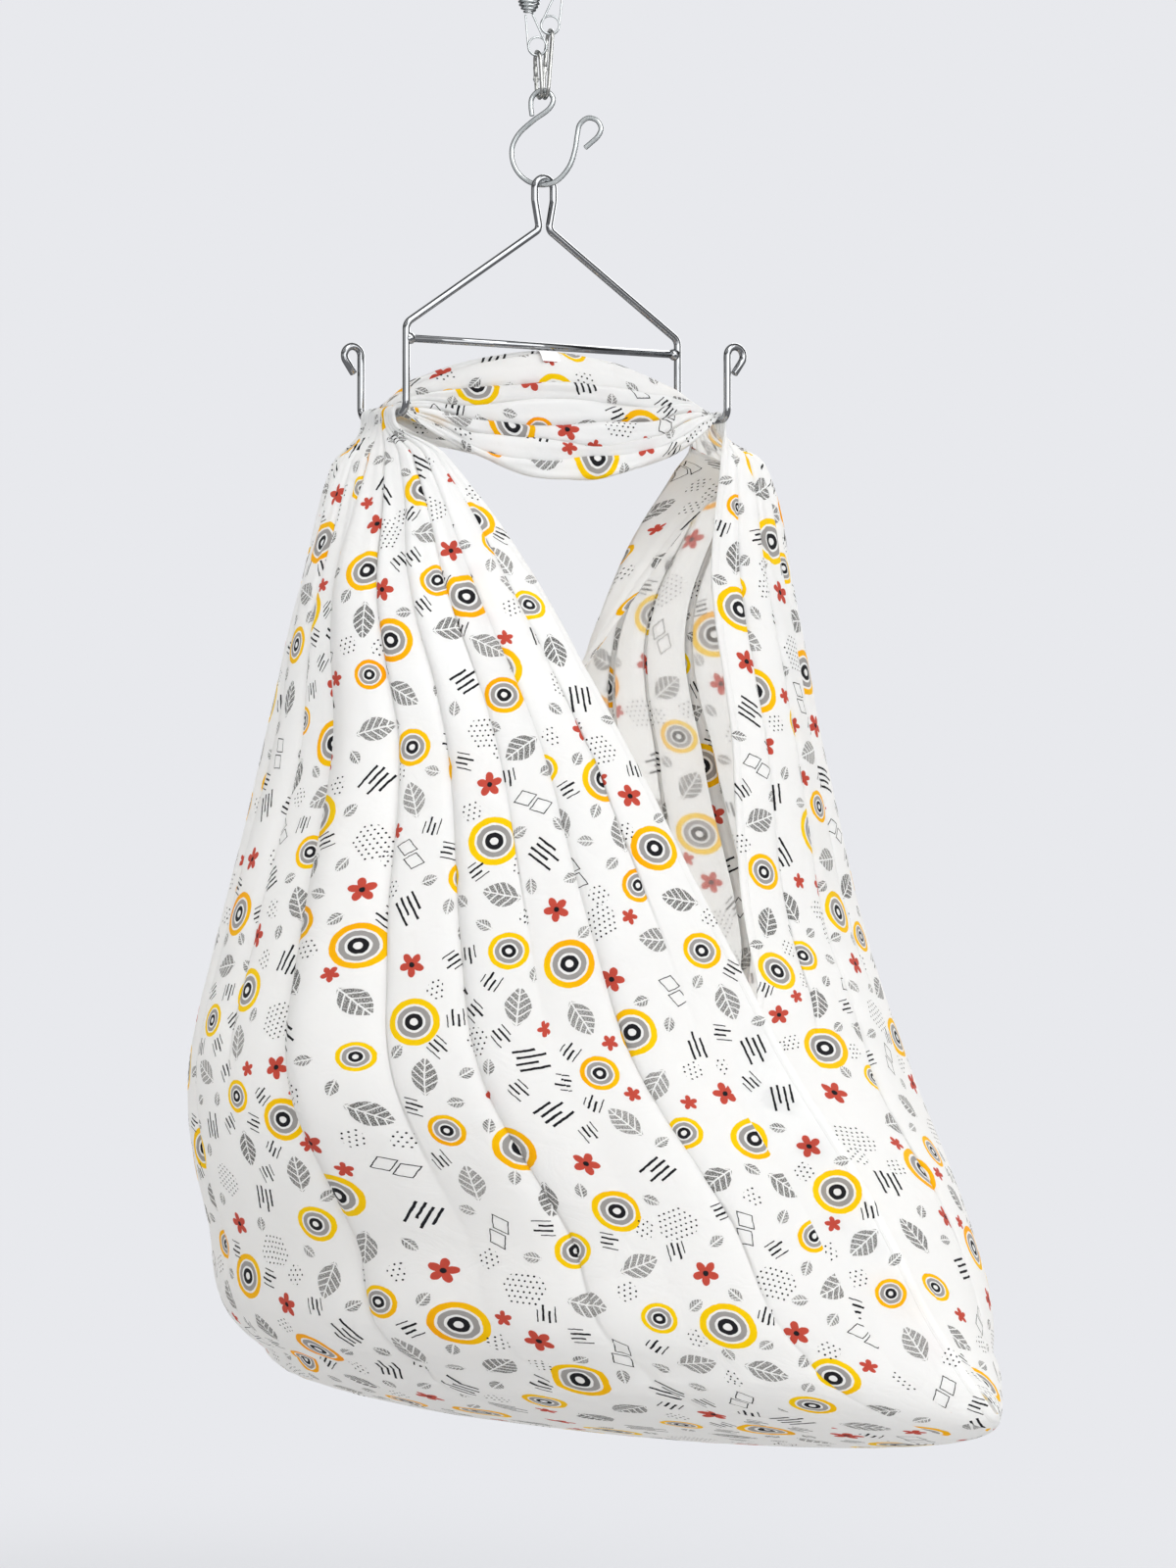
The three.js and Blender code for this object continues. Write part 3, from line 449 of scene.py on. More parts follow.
# S-hook
# One zinc-plated wire bent into a small closed loop at the top, a wide bottom bend that holds the
# hanger's eye, and a small loop at the free end.
S_WIRE = 0.006
S_SLACK = 0.46
S_SIDES = 22
S_WIDTH = 0.076
S_HEIGHT = 0.102
S_BOTTOM = -0.370886
S_PATH = [
    (-0.18, 0.74), (-0.195, 0.83), (-0.185, 0.915), (-0.12, 0.975), (-0.025, 1.0), (0.075, 0.972),
    (0.14, 0.9), (0.09, 0.81), (-0.17, 0.68), (-0.38, 0.55), (-0.475, 0.42), (-0.475, 0.28),
    (-0.39, 0.145), (-0.21, 0.035), (0, 0), (0.2, 0.04), (0.38, 0.18), (0.465, 0.35),
    (0.5, 0.505), (0.54, 0.62), (0.66, 0.68), (0.8, 0.645), (0.855, 0.56), (0.81, 0.485),
    (0.7, 0.415), (0.62, 0.37),
]


def curved(points, steps):
    """A centripetal curve through the points, with a number of steps in each span."""
    padded = [points[0] * 2 - points[1]] + points + [points[-1] * 2 - points[-2]]
    line = []
    for p0, p1, p2, p3 in zip(padded, padded[1:], padded[2:], padded[3:]):
        t1 = (p1 - p0).length ** 0.5
        t2 = t1 + (p2 - p1).length ** 0.5
        t3 = t2 + (p3 - p2).length ** 0.5
        for k in range(steps):
            t = t1 + (t2 - t1) * k / steps
            a1, a2 = p0.lerp(p1, t / t1), p1.lerp(p2, (t - t1) / (t2 - t1))
            a3 = p2.lerp(p3, (t - t2) / (t3 - t2))
            b1, b2 = a1.lerp(a2, t / t2), a2.lerp(a3, (t - t1) / (t3 - t1))
            line.append(b1.lerp(b2, (t - t1) / (t2 - t1)))
    return line + [points[-1]]


bends = [S_DIRECTION * (x * S_WIDTH) + up * (S_BOTTOM + z * S_HEIGHT) for x, z in S_PATH]
piece = add_piece("s_hook_smooth", wire_mesh(
    "s_hook", curved(bends, 7), S_WIRE * S_SLACK, S_SIDES, zinc, 0.35), zinc, "zinc_wire")
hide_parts("s_hook")
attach(piece, "s_hook")


# Hanger
# One chromed rod bent into an eye, two sloping arms, two legs, two cradle bars and two open hooks.
# A straight crossbar is welded between the legs, with a smooth bead round each end.
ROD = 0.008
ROD_SIDES = 24
EYE_HALF = 0.0115
EYE_TOP = 0.0073
EYE_LINE = -EYE_HALF * 0.4
NECK = Vector((0.0057, 0, -0.048))
HANGER_HALF = 0.168
ARM_DROP = 0.158
CROSSBAR_DROP = 0.174
BAR_DROP = 0.252
BAR_LENGTH = 0.102
BEND_RADII = (0.022, 0.0084, 0.012, 0.012, 0.012)
ARC_STEPS = 14
HOOK_BEND = 0.01
HOOK_TURN = math.radians(215)
HOOK_TIP = 0.016
BAR_INSET = 0.0035
BEAD_HALVES = (0.0068, 0.0059, 0.0064)
BEAD_INSET = 0.0042
CHROME = (0.44, 0.45, 0.465, 1)
CHROME_DULL = (0.36, 0.37, 0.385, 1)

chrome = plated_metal("chromed rod", CHROME, CHROME_DULL, 1.0, 0.3, 0.05, 0.12, 26.0, 500.0)


def bent(corners, radii):
    """Straight between the corners, with an arc of the given radius at each corner."""
    line = [corners[0]]
    for before, corner, after, radius in zip(corners, corners[1:], corners[2:], radii):
        into, out_of = (corner - before).normalized(), (after - corner).normalized()
        turn = into.angle(out_of)
        start = corner - into * radius * math.tan(turn / 2)
        inward = (out_of - into * out_of.dot(into)).normalized()
        for k in range(ARC_STEPS + 1):
            angle = turn * k / ARC_STEPS
            line.append(start + into * radius * math.sin(angle) + inward * radius * (1 - math.cos(angle)))
    return line + [corners[-1]]


def rod_half(side):
    """Half of the hanger's rod below the eye, from the eye's side to a hook's tip."""
    x, y = side * HANGER_HALF, -side * BAR_LENGTH
    corners = [Vector(c) for c in (
        (side * EYE_HALF, 0, EYE_LINE), (side * EYE_HALF, 0, -EYE_HALF * 1.5),
        (side * NECK.x, 0, NECK.z), (x, 0, -ARM_DROP), (x, 0, -BAR_DROP), (x, y, -BAR_DROP),
        (x, y, -CROSSBAR_DROP - HOOK_BEND))]
    line = bent(corners, BEND_RADII)
    centre = corners[-1] + Vector((side * HOOK_BEND, 0, 0))
    for k in range(1, BEND_STEPS + 1):
        angle = HOOK_TURN * k / BEND_STEPS
        line.append(centre + Vector((-side * math.cos(angle), 0, math.sin(angle))) * HOOK_BEND)
    line.append(line[-1] + Vector((side * math.sin(HOOK_TURN), 0, math.cos(HOOK_TURN))) * HOOK_TIP)
    return line


eye_arc = []
for k in range(1, BEND_STEPS):
    angle = math.pi * (1 - k / BEND_STEPS)
    eye_arc.append(Vector((EYE_HALF * math.cos(angle), 0, EYE_LINE + (EYE_TOP - EYE_LINE) * math.sin(angle))))
line = [p + up * S_BOTTOM for p in rod_half(-1)[::-1] + eye_arc + rod_half(1)]
piece = add_piece("hanger_rod_smooth", wire_mesh(
    "hanger_rod", line, ROD / 2, ROD_SIDES, chrome, 0.3), chrome, "chromed_rod")
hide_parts("hanger_rod")
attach(piece, "hanger")

crossbar_line = [Vector((x * (HANGER_HALF - BAR_INSET), 0, 0)) for x in (-1, 0, 1)]
crossbar_parts = [wire_mesh("crossbar", crossbar_line, ROD / 2, ROD_SIDES, chrome)]
for side in (-1, 1):
    # The bead swells from the rod to a collar that wraps the leg, with small lumps of weld
    bead = bmesh.new()
    bmesh.ops.create_uvsphere(bead, u_segments=28, v_segments=16, radius=1)
    for vert in bead.verts:
        lumps = 1 + 0.07 * noise.noise(vert.co * 2.3 + Vector((side * 5, 0, 0)))
        vert.co = vert.co * Vector(BEAD_HALVES) * lumps
        vert.co.x += side * (HANGER_HALF - BEAD_INSET)
    for face in bead.faces:
        face.smooth = True
    crossbar_parts.append(as_mesh("bead", bead))
crossbar = joined(crossbar_parts)
crossbar.transform(Matrix.Translation(up * (S_BOTTOM - CROSSBAR_DROP)))
piece = add_piece("hanger_crossbar_smooth", crossbar, chrome, "chromed_rod")
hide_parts("hanger_crossbar")
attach(piece, "hanger")


# Sling
# One tube of thin white cotton gathered over both cradle bars: a pleated band over the top and two
# pleated walls that close in a deep bottom. The left wall's front lip lies over the right one's.
SLING_HALF = 0.391
SLING_DROP = 1.099
CLOSING_START = 0.92
FRONT_LIFT = 0.0737
BACK_LIFT = 0.02
LIP_GAP = 0.002
TUCK_REACH = 0.06
TUCK_DEPTH = 0.03
LAP_WIDTH = 0.085
LAP_DROP = 0.26
LAP_DEPTH = 0.01
STEP_DEPTH = 0.013
STEP_SPREAD = 0.35
HEM_LIFT = 0.006
HEM_SHARE = 0.035
# Drop shares between which each of these starts, is full, leaves and is gone
TUCK_DROPS = (0.58, 0.7, 0.94, 0.99)
LAP_DROPS = (0.01, 0.05, 0.2, 0.28)
STEP_DROPS = (0.04, 0.16, 0.6, 0.85)
HEM_DROPS = (0.45, 0.6, 0.93, 0.98)
DOUBLED_DROPS = (0, 0.03, 0.08, 0.28)
PLEAT_START = 0.12
FADE_SPAN = 0.42
FADE_SHARE = 0.88
BAR_MARGIN = 0.014
BAR_WRAP = 0.0056
BAR_LEAVE = 0.044
WALL_TURN, BAND_TURN = 95, -35
BAND_RISE = 0.066
BAND_SAG = 0.07
BAND_SPREAD = 0.046
CLOTH = 0.0009
CLOTH_WIDTH = 1.2
PLEAT_COLUMNS = 12
BAR_RINGS, BAND_RINGS, LOW_RINGS = 8, 55, 15
# Depths of the folds on a bar, over the band's middle and on the walls
BAR_FOLD, BAND_FOLD, WALL_FOLD = 0.003, 0.016, 0.0135
# Heights of the cloth's broad waves, small creases and gathers
WAVE, CREASE, GATHER = 0.0036, 0.0011, 0.004
bar_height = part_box("hanger_rod")[0][2] + ROD / 2
# Drop share, then centre, half chord and bulge as across and away pairs, then turn of the wrap
LEFT_ROWS = np.array([
    [0.0, -0.435, -0.105, 0.05, -0.09, -0.01, -0.01, 1],
    [0.044, -0.405, -0.065, 0.14, -0.205, -0.09, -0.06, 1],
    [0.17, -0.256, 0.0, 0.23, -0.405, -0.345, -0.28, 1],
    [0.332, -0.18, 0.0, 0.384, -0.55, -0.45, -0.33, 1],
    [0.513, -0.05, 0.0, 0.486, -0.65, -0.69, -0.435, 1],
    [0.649, 0.033, 0.0, 0.573, -0.71, -0.82, -0.5, 1],
    [0.793, 0.128, 0.0, 0.703, -0.91, -0.79, -0.41, 1],
    [0.92, 0.256, 0.0, 0.742, -1.05, -0.74, -0.36, 1],
    [1.0, 0.371, 0.0, 0.767, -1.125, 0.0, 0.0, 1],
])
RIGHT_ROWS = np.array([
    [0.0, 0.435, 0.105, 0.05, -0.09, 0.01, 0.01, 1],
    [0.044, 0.447, 0.077, 0.03, -0.16, 0.148, 0.026, 1.25],
    [0.17, 0.422, 0.05, 0.026, -0.27, 0.248, 0.026, 1.6],
    [0.332, 0.358, 0.026, 0.143, -0.36, 0.37, 0.18, 1.3],
    [0.513, 0.23, 0.0, 0.294, -0.486, 0.568, 0.384, 1.08],
    [0.649, 0.033, 0.0, 0.573, -0.71, 0.76, 0.48, 1],
    [0.793, 0.128, 0.0, 0.703, -0.91, 0.7, 0.38, 1],
    [0.92, 0.256, 0.0, 0.742, -1.05, 0.52, 0.23, 1],
    [1.0, 0.371, 0.0, 0.767, -1.125, 0.0, 0.0, 1],
])
# Valleys between the pleats as shares of the way across, how deep each is, and where it fades out
LEFT_VALLEYS = np.array([0, 0.062, 0.124, 0.19, 0.25, 0.33, 0.43, 0.54, 0.63, 0.72, 0.81, 0.9, 1])
LEFT_DEPTHS = np.array([0.2, 0.35, 1.0, 0.3, 1.2, 0.8, 2.0, 0.6, 1.1, 0.5, 1.0, 0.5, 0.2])
LEFT_FADES = np.array([0.4, 0.3, 0.5, 0.3, 0.5, 0.42, 0.62, 0.35, 0.5, 0.35, 0.45, 0.4, 0.4])
RIGHT_VALLEYS = np.array([0, 0.07, 0.15, 0.22, 0.3, 0.37, 0.45, 0.53, 0.62, 0.71, 0.8, 0.9, 1])
RIGHT_DEPTHS = np.array([0.2, 0.5, 1.2, 0.4, 1.2, 0.5, 1.1, 0.6, 1.2, 0.6, 1.1, 0.6, 0.2])
RIGHT_FADES = np.array([0.4, 0.35, 0.5, 0.3, 0.52, 0.35, 0.5, 0.4, 0.5, 0.35, 0.5, 0.4, 0.4])
BAND_VALLEYS = np.array([0, 0.044, 0.092, 0.155, 0.229, 0.3, 0.5, 0.7, 0.771, 0.845, 0.908, 0.956, 1])
BAND_DEPTHS = np.array([0.5, 1.0, 0.8, 1.2, 0.9, 1.1, 0.5, 1.0, 0.9, 1.2, 0.8, 1.0, 0.5])
# The step between the left wall's front panel and its back starts at this valley
STEP_VALLEY = LEFT_VALLEYS[6]
PLEATS = len(LEFT_VALLEYS) - 1
ACROSS, AWAY = np.array(across), np.array(away)


def smooth(value):
    value = min(max(value, 0), 1)
    return value * value * (3 - 2 * value)


def spell(value, starts, full, leaves, gone):
    """One from full to leaves, and nothing before it starts and after it is gone."""
    return smooth((value - starts) / (full - starts)) * (1 - smooth((value - leaves) / (gone - leaves)))


def wall_row(rows, drop):
    """A row of a wall table at a drop share, on a smooth curve through the rows."""
    index = int(np.clip(np.searchsorted(rows[:, 0], drop) - 1, 0, len(rows) - 2))
    low, high = rows[index], rows[index + 1]
    before, after = rows[max(index - 1, 0)], rows[min(index + 2, len(rows) - 1)]
    span = high[0] - low[0]
    share = min(max((drop - low[0]) / span, 0), 1)
    step = high - low
    leaving = (high - before) * span / (high[0] - before[0])
    reaching = (after - low) * span / (after[0] - low[0])
    swing = leaving * (1 - share) - reaching * share - step * (1 - 2 * share)
    return low + step * share + share * (1 - share) * swing


def wall_line(rows, side, drop, cross):
    """Points of a wall's base surface at one drop, from the front hem to the back hem."""
    _, centre_u, centre_w, edge_u, edge_w, bulge_u, bulge_w, wrap = wall_row(rows, drop)
    left = min((1 - drop) / (1 - CLOSING_START), 1)
    fullness = 1 / math.sqrt(left) if 0 < left < 1 else 1
    # Low down, the right wall's front edge runs on behind the left wall's lip
    behind = spell(drop, *TUCK_DROPS) * (side > 0) * (1 - cross) ** 8
    turned = cross * wrap - TUCK_REACH * behind
    bulge, chord = np.sin(np.pi * turned) * fullness, np.cos(np.pi * turned)
    size = SLING_HALF * (1 - TUCK_DEPTH * behind)
    gap = side * LIP_GAP if drop < 1 else 0
    u = centre_u * SLING_HALF + (edge_u * chord + bulge_u * bulge) * size + gap
    w = centre_w * SLING_HALF + (edge_w * chord + bulge_w * bulge) * size
    lift = FRONT_LIFT * (1 - cross) ** 3 + BACK_LIFT * cross ** 3
    points = np.outer(u, ACROSS) + np.outer(w, AWAY)
    points[:, 2] = bar_height - drop * SLING_DROP * (1 - lift)
    if side > 0:
        # High up, the right wall's back hem is lapped forwards and shows its outer face
        lap = spell(drop, *LAP_DROPS)
        at = (PLEATS - 1) * PLEAT_COLUMNS
        along = np.linspace(0, 1, len(cross) - at)[:, None]
        width = LAP_WIDTH * max(1 - drop / LAP_DROP, 0) ** 0.9
        lapped = points[at] + ACROSS * width * along - AWAY * LAP_DEPTH * np.sin(np.pi / 2 * along)
        lapped[:, 2] = points[at:, 2]
        points[at:] = points[at:] * (1 - lap) + lapped * lap
    if drop < BAR_LEAVE:
        down = bar_line(side, WALL_TURN, cross)
        down[:, 2] -= drop * SLING_DROP
        mix = smooth(drop / BAR_LEAVE)
        points = down * (1 - mix) + points * mix
    return points


def lane(share, cross):
    return -BAR_LENGTH * share + BAR_MARGIN + (BAR_LENGTH - 2 * BAR_MARGIN) * cross


def bar_line(side, turn, cross):
    """Points of the cloth where it wraps a cradle bar, at a turn in degrees from straight up."""
    angle = math.radians(turn)
    x = np.full_like(cross, side * (HANGER_HALF + BAR_WRAP * math.sin(angle)))
    z = np.full_like(cross, bar_height + BAR_WRAP * math.cos(angle))
    return np.stack([x, lane((1 + side) / 2, cross), z], 1)


def band_line(share, cross):
    """Points of the band's base surface at a share of the way from the left bar to the right."""
    swell = math.sin(math.pi * share) ** 0.8
    arch = 1 - np.abs(1 - 2 * cross) ** 1.6
    y = lane(share, cross) + (cross - 0.5) * BAND_SPREAD * swell
    sag = BAND_SAG * (1 - 0.4 * np.clip(2 * cross - 1, 0, 1))
    z = bar_height + BAR_WRAP + swell * (BAND_RISE * arch - sag * (1 - arch))
    return np.stack([np.full_like(cross, HANGER_HALF * (2 * share - 1)), y, z], 1)


# Columns stand closer together near the valleys
column_share = (1 - np.cos(np.pi * np.arange(PLEAT_COLUMNS + 1) / PLEAT_COLUMNS)) / 2
column_share = 0.8 * column_share + 0.2 * np.arange(PLEAT_COLUMNS + 1) / PLEAT_COLUMNS
within = np.concatenate([np.tile(column_share[:-1], PLEATS), [1.0]])
pleat = np.concatenate([np.repeat(np.arange(PLEATS), PLEAT_COLUMNS), [PLEATS - 1]])


def per_column(table):
    """A table of valleys or depths, spread over the columns."""
    return table[pleat] + (table[pleat + 1] - table[pleat]) * within


# Stations round the tube: over the left bar, along the band, over the right bar, down and up the walls
bar_turns = np.linspace(WALL_TURN, BAND_TURN, BAR_RINGS)
wall_drops = list(np.linspace(0.002, 0.05, 9)) + list(np.linspace(0.06, 0.9, 66))
wall_drops += [1 - (1 - 0.908) * (1 - k / LOW_RINGS) ** 2 for k in range(LOW_RINGS)]
stations = [("bar", -1, turn) for turn in bar_turns]
for k in range(1, BAND_RINGS + 1):
    stations.append(("band", 0, 0.5 - 0.5 * math.cos(math.pi * (0.04 + 0.92 * k / (BAND_RINGS + 1)))))
stations += [("bar", 1, turn) for turn in bar_turns[::-1]]
stations += [("wall", 1, drop) for drop in wall_drops]
bottom_ring = len(stations)
stations += [("wall", -1, 1.0)]
stations += [("wall", -1, drop) for drop in reversed(wall_drops)]
start_ring = BAR_RINGS + BAND_RINGS // 2

# At each station: base points, fold depth, share of it that goes inwards, lean and sharpness of the
# pleats, how far they are doubled, and how strong the waves and the gathers are
shapes = []
for kind, side, place in stations:
    leftward = side < 0 or kind == "band" and place < 0.5
    table, depth_table, fades, rows = (
        (LEFT_VALLEYS, LEFT_DEPTHS, LEFT_FADES, LEFT_ROWS) if leftward
        else (RIGHT_VALLEYS, RIGHT_DEPTHS, RIGHT_FADES, RIGHT_ROWS))
    bunched = np.linspace(0, 1, PLEATS + 1) * 0.5 + table * 0.5
    near_bar = min(place, 1 - place)
    if kind == "band":
        mid = smooth(near_bar / 0.22)
        wander = 0.012 * np.sin(np.arange(PLEATS + 1) * 2.4 + place * 9) * mid
        wander[[0, -1]] = 0
        ring = band_line(place, per_column(table * (1 - mid) + (BAND_VALLEYS + wander) * mid))
        depth = (BAR_FOLD + BAND_FOLD * mid) * per_column(depth_table * (1 - mid) + BAND_DEPTHS * mid)
        shapes.append((ring, depth, 0.6 * mid, -0.8 * mid, 2.6, 0.3 * smooth(near_bar / 0.15),
                       0.8 * smooth(near_bar / 0.12), 1.3))
    elif kind == "bar":
        ring = bar_line(side, place, per_column(bunched))
        shapes.append((ring, np.full(len(pleat), BAR_FOLD), 0.0, 0.0, 2.0, 0.0, 0.0, 0.0))
    else:
        start = smooth(place / PLEAT_START)
        ring = wall_line(rows, side, place, per_column(bunched * (1 - start) + table * start))
        fading = np.array([1 - FADE_SHARE * smooth((place - fade) / FADE_SPAN) for fade in fades])
        depth = (BAR_FOLD + WALL_FOLD * smooth(place / 0.25)) * min((1 - place) / 0.06, 1)
        depth = depth * (1 - start + per_column(depth_table * fading) * start)
        shapes.append((ring, depth, 0.75 * start, -1.25 * start * side, 2.0 + 2.2 * smooth(place / 0.15),
                       0.45 * spell(place, *DOUBLED_DROPS),
                       smooth(place / 0.1) * min((1 - place) / 0.05, 1), 1 - smooth((place - 0.04) / 0.34)))
base, fold_depth, inwards, leans, sharpness, doubling, calm, gathered = [np.array(c) for c in zip(*shapes)]


def surface_frame(points):
    """Unit vectors across the tube and out of it, at every point of closed rings."""
    along = np.roll(points, -1, 0) - np.roll(points, 1, 0)
    over = np.gradient(points, axis=1)
    outward = np.cross(along, over)
    outward /= np.linalg.norm(outward, axis=2, keepdims=True) + 1e-12
    over = over / (np.linalg.norm(over, axis=2, keepdims=True) + 1e-12)
    return over, outward


ridge = 1 - np.abs(2 * within - 1) ** sharpness[:, None]
# Near the bars and over the band each pleat is doubled by a smaller one
smaller = 1 - np.abs(2 * ((within * 2 + 0.12) % 1) - 1) ** 2.2
share = doubling[:, None] * np.sin(np.pi * within) ** 0.5
height = fold_depth * (ridge - share * (1 - smaller) - inwards[:, None])
# The left wall's front hem is rolled, and its back lies a step lower than the panel in front of it
left_cross = per_column(LEFT_VALLEYS)
hem = np.clip(1 - left_cross / HEM_SHARE, 0, 1) ** 2
step = 1 - np.clip((left_cross - STEP_VALLEY) / STEP_SPREAD, 0, 1)
step[left_cross <= STEP_VALLEY] = 0
for i, (kind, side, place) in enumerate(stations):
    if kind == "wall" and side < 0:
        height[i] += HEM_LIFT * hem * spell(place, *HEM_DROPS)
        height[i] -= STEP_DEPTH * step * spell(place, *STEP_DROPS)
# Each pleat leans over the next valley
forward = 1.7 * within ** 2 * (1 - within) ** 0.35
backward = 1.7 * (1 - within) ** 2 * within ** 0.35
lean = fold_depth * np.where(leans[:, None] > 0, leans[:, None] * forward, leans[:, None] * backward)
over, outward = surface_frame(base)
sheet_points = base + outward * height[..., None] + over * lean[..., None]
# Soft waves and small creases of cotton, which are still on the bars and at the bottom's seam.
# Small gathers run along the tube between the pleats, near the bars and over the band
waves = np.zeros(base.shape[:2])
for i, (kind, side, place) in enumerate(stations):
    if calm[i] > 0:
        for k, (x, y, z) in enumerate(base[i]):
            broad = noise.noise(Vector((x * 11, y * 11, z * 4.5)))
            creases = noise.noise(Vector((x * 34 + 7, y * 34, z * 16)))
            gathers = noise.noise(Vector((place * (6 if kind == "band" else 5), k * 0.4, side * 9)))
            waves[i, k] = WAVE * broad + CREASE * creases + GATHER * gathered[i] * gathers
over, outward = surface_frame(sheet_points)
sheet_points = sheet_points + outward * (waves * calm[:, None])[..., None]
over, outward = surface_frame(sheet_points)
layers = [sheet_points + outward * CLOTH / 2, sheet_points - outward * CLOTH / 2]

# Cloth coordinates in metres: v along the tube from the band's middle, both ways to the bottom's seam
ring_count, width = base.shape[:2]
steps = np.linalg.norm(np.roll(base, -1, 0) - base, axis=2)
padded = np.pad(steps, ((0, 0), (PLEAT_COLUMNS, PLEAT_COLUMNS)), mode="edge")
steps = np.mean([padded[:, k:k + width] for k in range(2 * PLEAT_COLUMNS + 1)], 0)
travel, left_travel = np.zeros((ring_count, width)), np.zeros((ring_count, width))
for i in range(start_ring + 1, ring_count):
    travel[i] = travel[i - 1] + steps[i - 1]
for k in range(1, ring_count - bottom_ring + start_ring + 1):
    i = (start_ring - k) % ring_count
    left_travel[i] = left_travel[(i + 1) % ring_count] - steps[i]
travel[:start_ring] = left_travel[:start_ring]
travel[bottom_ring + 1:] = left_travel[bottom_ring + 1:]
# u across from the front hem, with each pleat's cloth centred between its valleys
spans = np.linalg.norm(np.diff(sheet_points, axis=1), axis=2)
flat_valleys = CLOTH_WIDTH * (np.linspace(0, 1, PLEATS + 1) * 0.4 + LEFT_VALLEYS * 0.6)
cross_left, cross_right = np.zeros((ring_count, width - 1)), np.zeros((ring_count, width - 1))
for p, (flat_low, flat_high) in enumerate(zip(flat_valleys, flat_valleys[1:])):
    cells = slice(p * PLEAT_COLUMNS, (p + 1) * PLEAT_COLUMNS)
    reach = np.concatenate([np.zeros((ring_count, 1)), np.cumsum(spans[:, cells], 1)], 1)
    total = reach[:, -1:]
    shrink = np.minimum(1, (flat_high - flat_low) / total)
    if p == 0:
        cloth = flat_low + reach * shrink
    elif p == PLEATS - 1:
        cloth = flat_high - (total - reach) * shrink
    else:
        cloth = (flat_low + flat_high) / 2 + (reach - total / 2) * shrink
    cross_left[:, cells], cross_right[:, cells] = cloth[:, :-1], cloth[:, 1:]

# A closed sheet of two layers, joined along both hems
i, k = np.meshgrid(np.arange(ring_count), np.arange(width - 1), indexing="ij")
after = (i + 1) % ring_count
corners = np.stack([i * width + k, after * width + k, after * width + k + 1, i * width + k + 1], -1)
corners = corners.reshape(-1, 4)
near, far = travel.copy(), np.roll(travel, -1, 0)
near[bottom_ring] = left_travel[bottom_ring]
u = np.stack([cross_left, np.roll(cross_left, -1, 0), np.roll(cross_right, -1, 0), cross_right], -1)
v = np.stack([near[:, :-1], far[:, :-1], far[:, 1:], near[:, 1:]], -1)
u, v = u.reshape(-1, 4), v.reshape(-1, 4)
layer_size = ring_count * width
rim = np.arange(ring_count) * width
after_rim, last = np.roll(rim, -1), width - 1
front_rim = np.stack([rim, layer_size + rim, layer_size + after_rim, after_rim], 1)
back_rim = np.stack([rim, after_rim, layer_size + after_rim, layer_size + rim], 1) + last
faces = np.concatenate([corners, layer_size + corners[:, ::-1], front_rim, back_rim])
rim_u, rim_v = np.zeros((ring_count, 4)), np.repeat(travel[:, :1], 4, 1)
u = np.concatenate([u, u[:, ::-1], rim_u, rim_u + CLOTH_WIDTH])
v = np.concatenate([v, v[:, ::-1], rim_v, rim_v])
mesh = bpy.data.meshes.new("sling")
mesh.from_pydata(np.concatenate([layer.reshape(-1, 3) for layer in layers]).tolist(), [], faces.tolist())
cloth_map = mesh.uv_layers.new(name="UVMap")
cloth_map.data.foreach_set("uv", np.stack([u, v], -1).astype(np.float32).ravel())
# The inner layer shows the cotton's inner side, with its print faint; its cotton is painted brighter and
# creamier than the outer side, painted light for the light that comes through the cloth
inner_faces = np.zeros(len(faces), dtype=np.int32)
inner_faces[len(corners):2 * len(corners)] = 1
mesh.polygons.foreach_set("material_index", inner_faces)
mesh.polygons.foreach_set("use_smooth", np.ones(len(faces), dtype=bool))
mesh.update()


# Printed cotton
# White plain weave with a scattered print of nested rings, leaves, blossoms, dots, strokes and
# diamonds. The motifs sit in staggered cells and repeat, and show faintly through on the inner side.
CELL = (0.062, 0.058)
REPEAT = (10.0, 8.0)
GAP_REPEAT = (12.0, 9.0)
GAP_SEED = 50.0
THREADS = 9000.0
STITCHES = 320.0
COTTON = (0.945, 0.95, 0.955, 1)
# Painted light: the inner side's cotton is painted brighter and creamier than the outer, for light that comes
# through the cloth into the hollow
INNER_COTTON_PAINTED_LIGHTER = (0.985, 0.98, 0.96, 1)
YELLOW = (1.0, 0.69, 0.0, 1)
ORANGE = (1.0, 0.36, 0.0, 1)
LIGHT_GREY = (0.40, 0.39, 0.385, 1)
LEAF_GREY = (0.12, 0.12, 0.115, 1)
LEAF_PALE = (0.34, 0.335, 0.33, 1)
CHARCOAL = (0.018, 0.018, 0.022, 1)
CORAL = (0.62, 0.09, 0.06, 1)


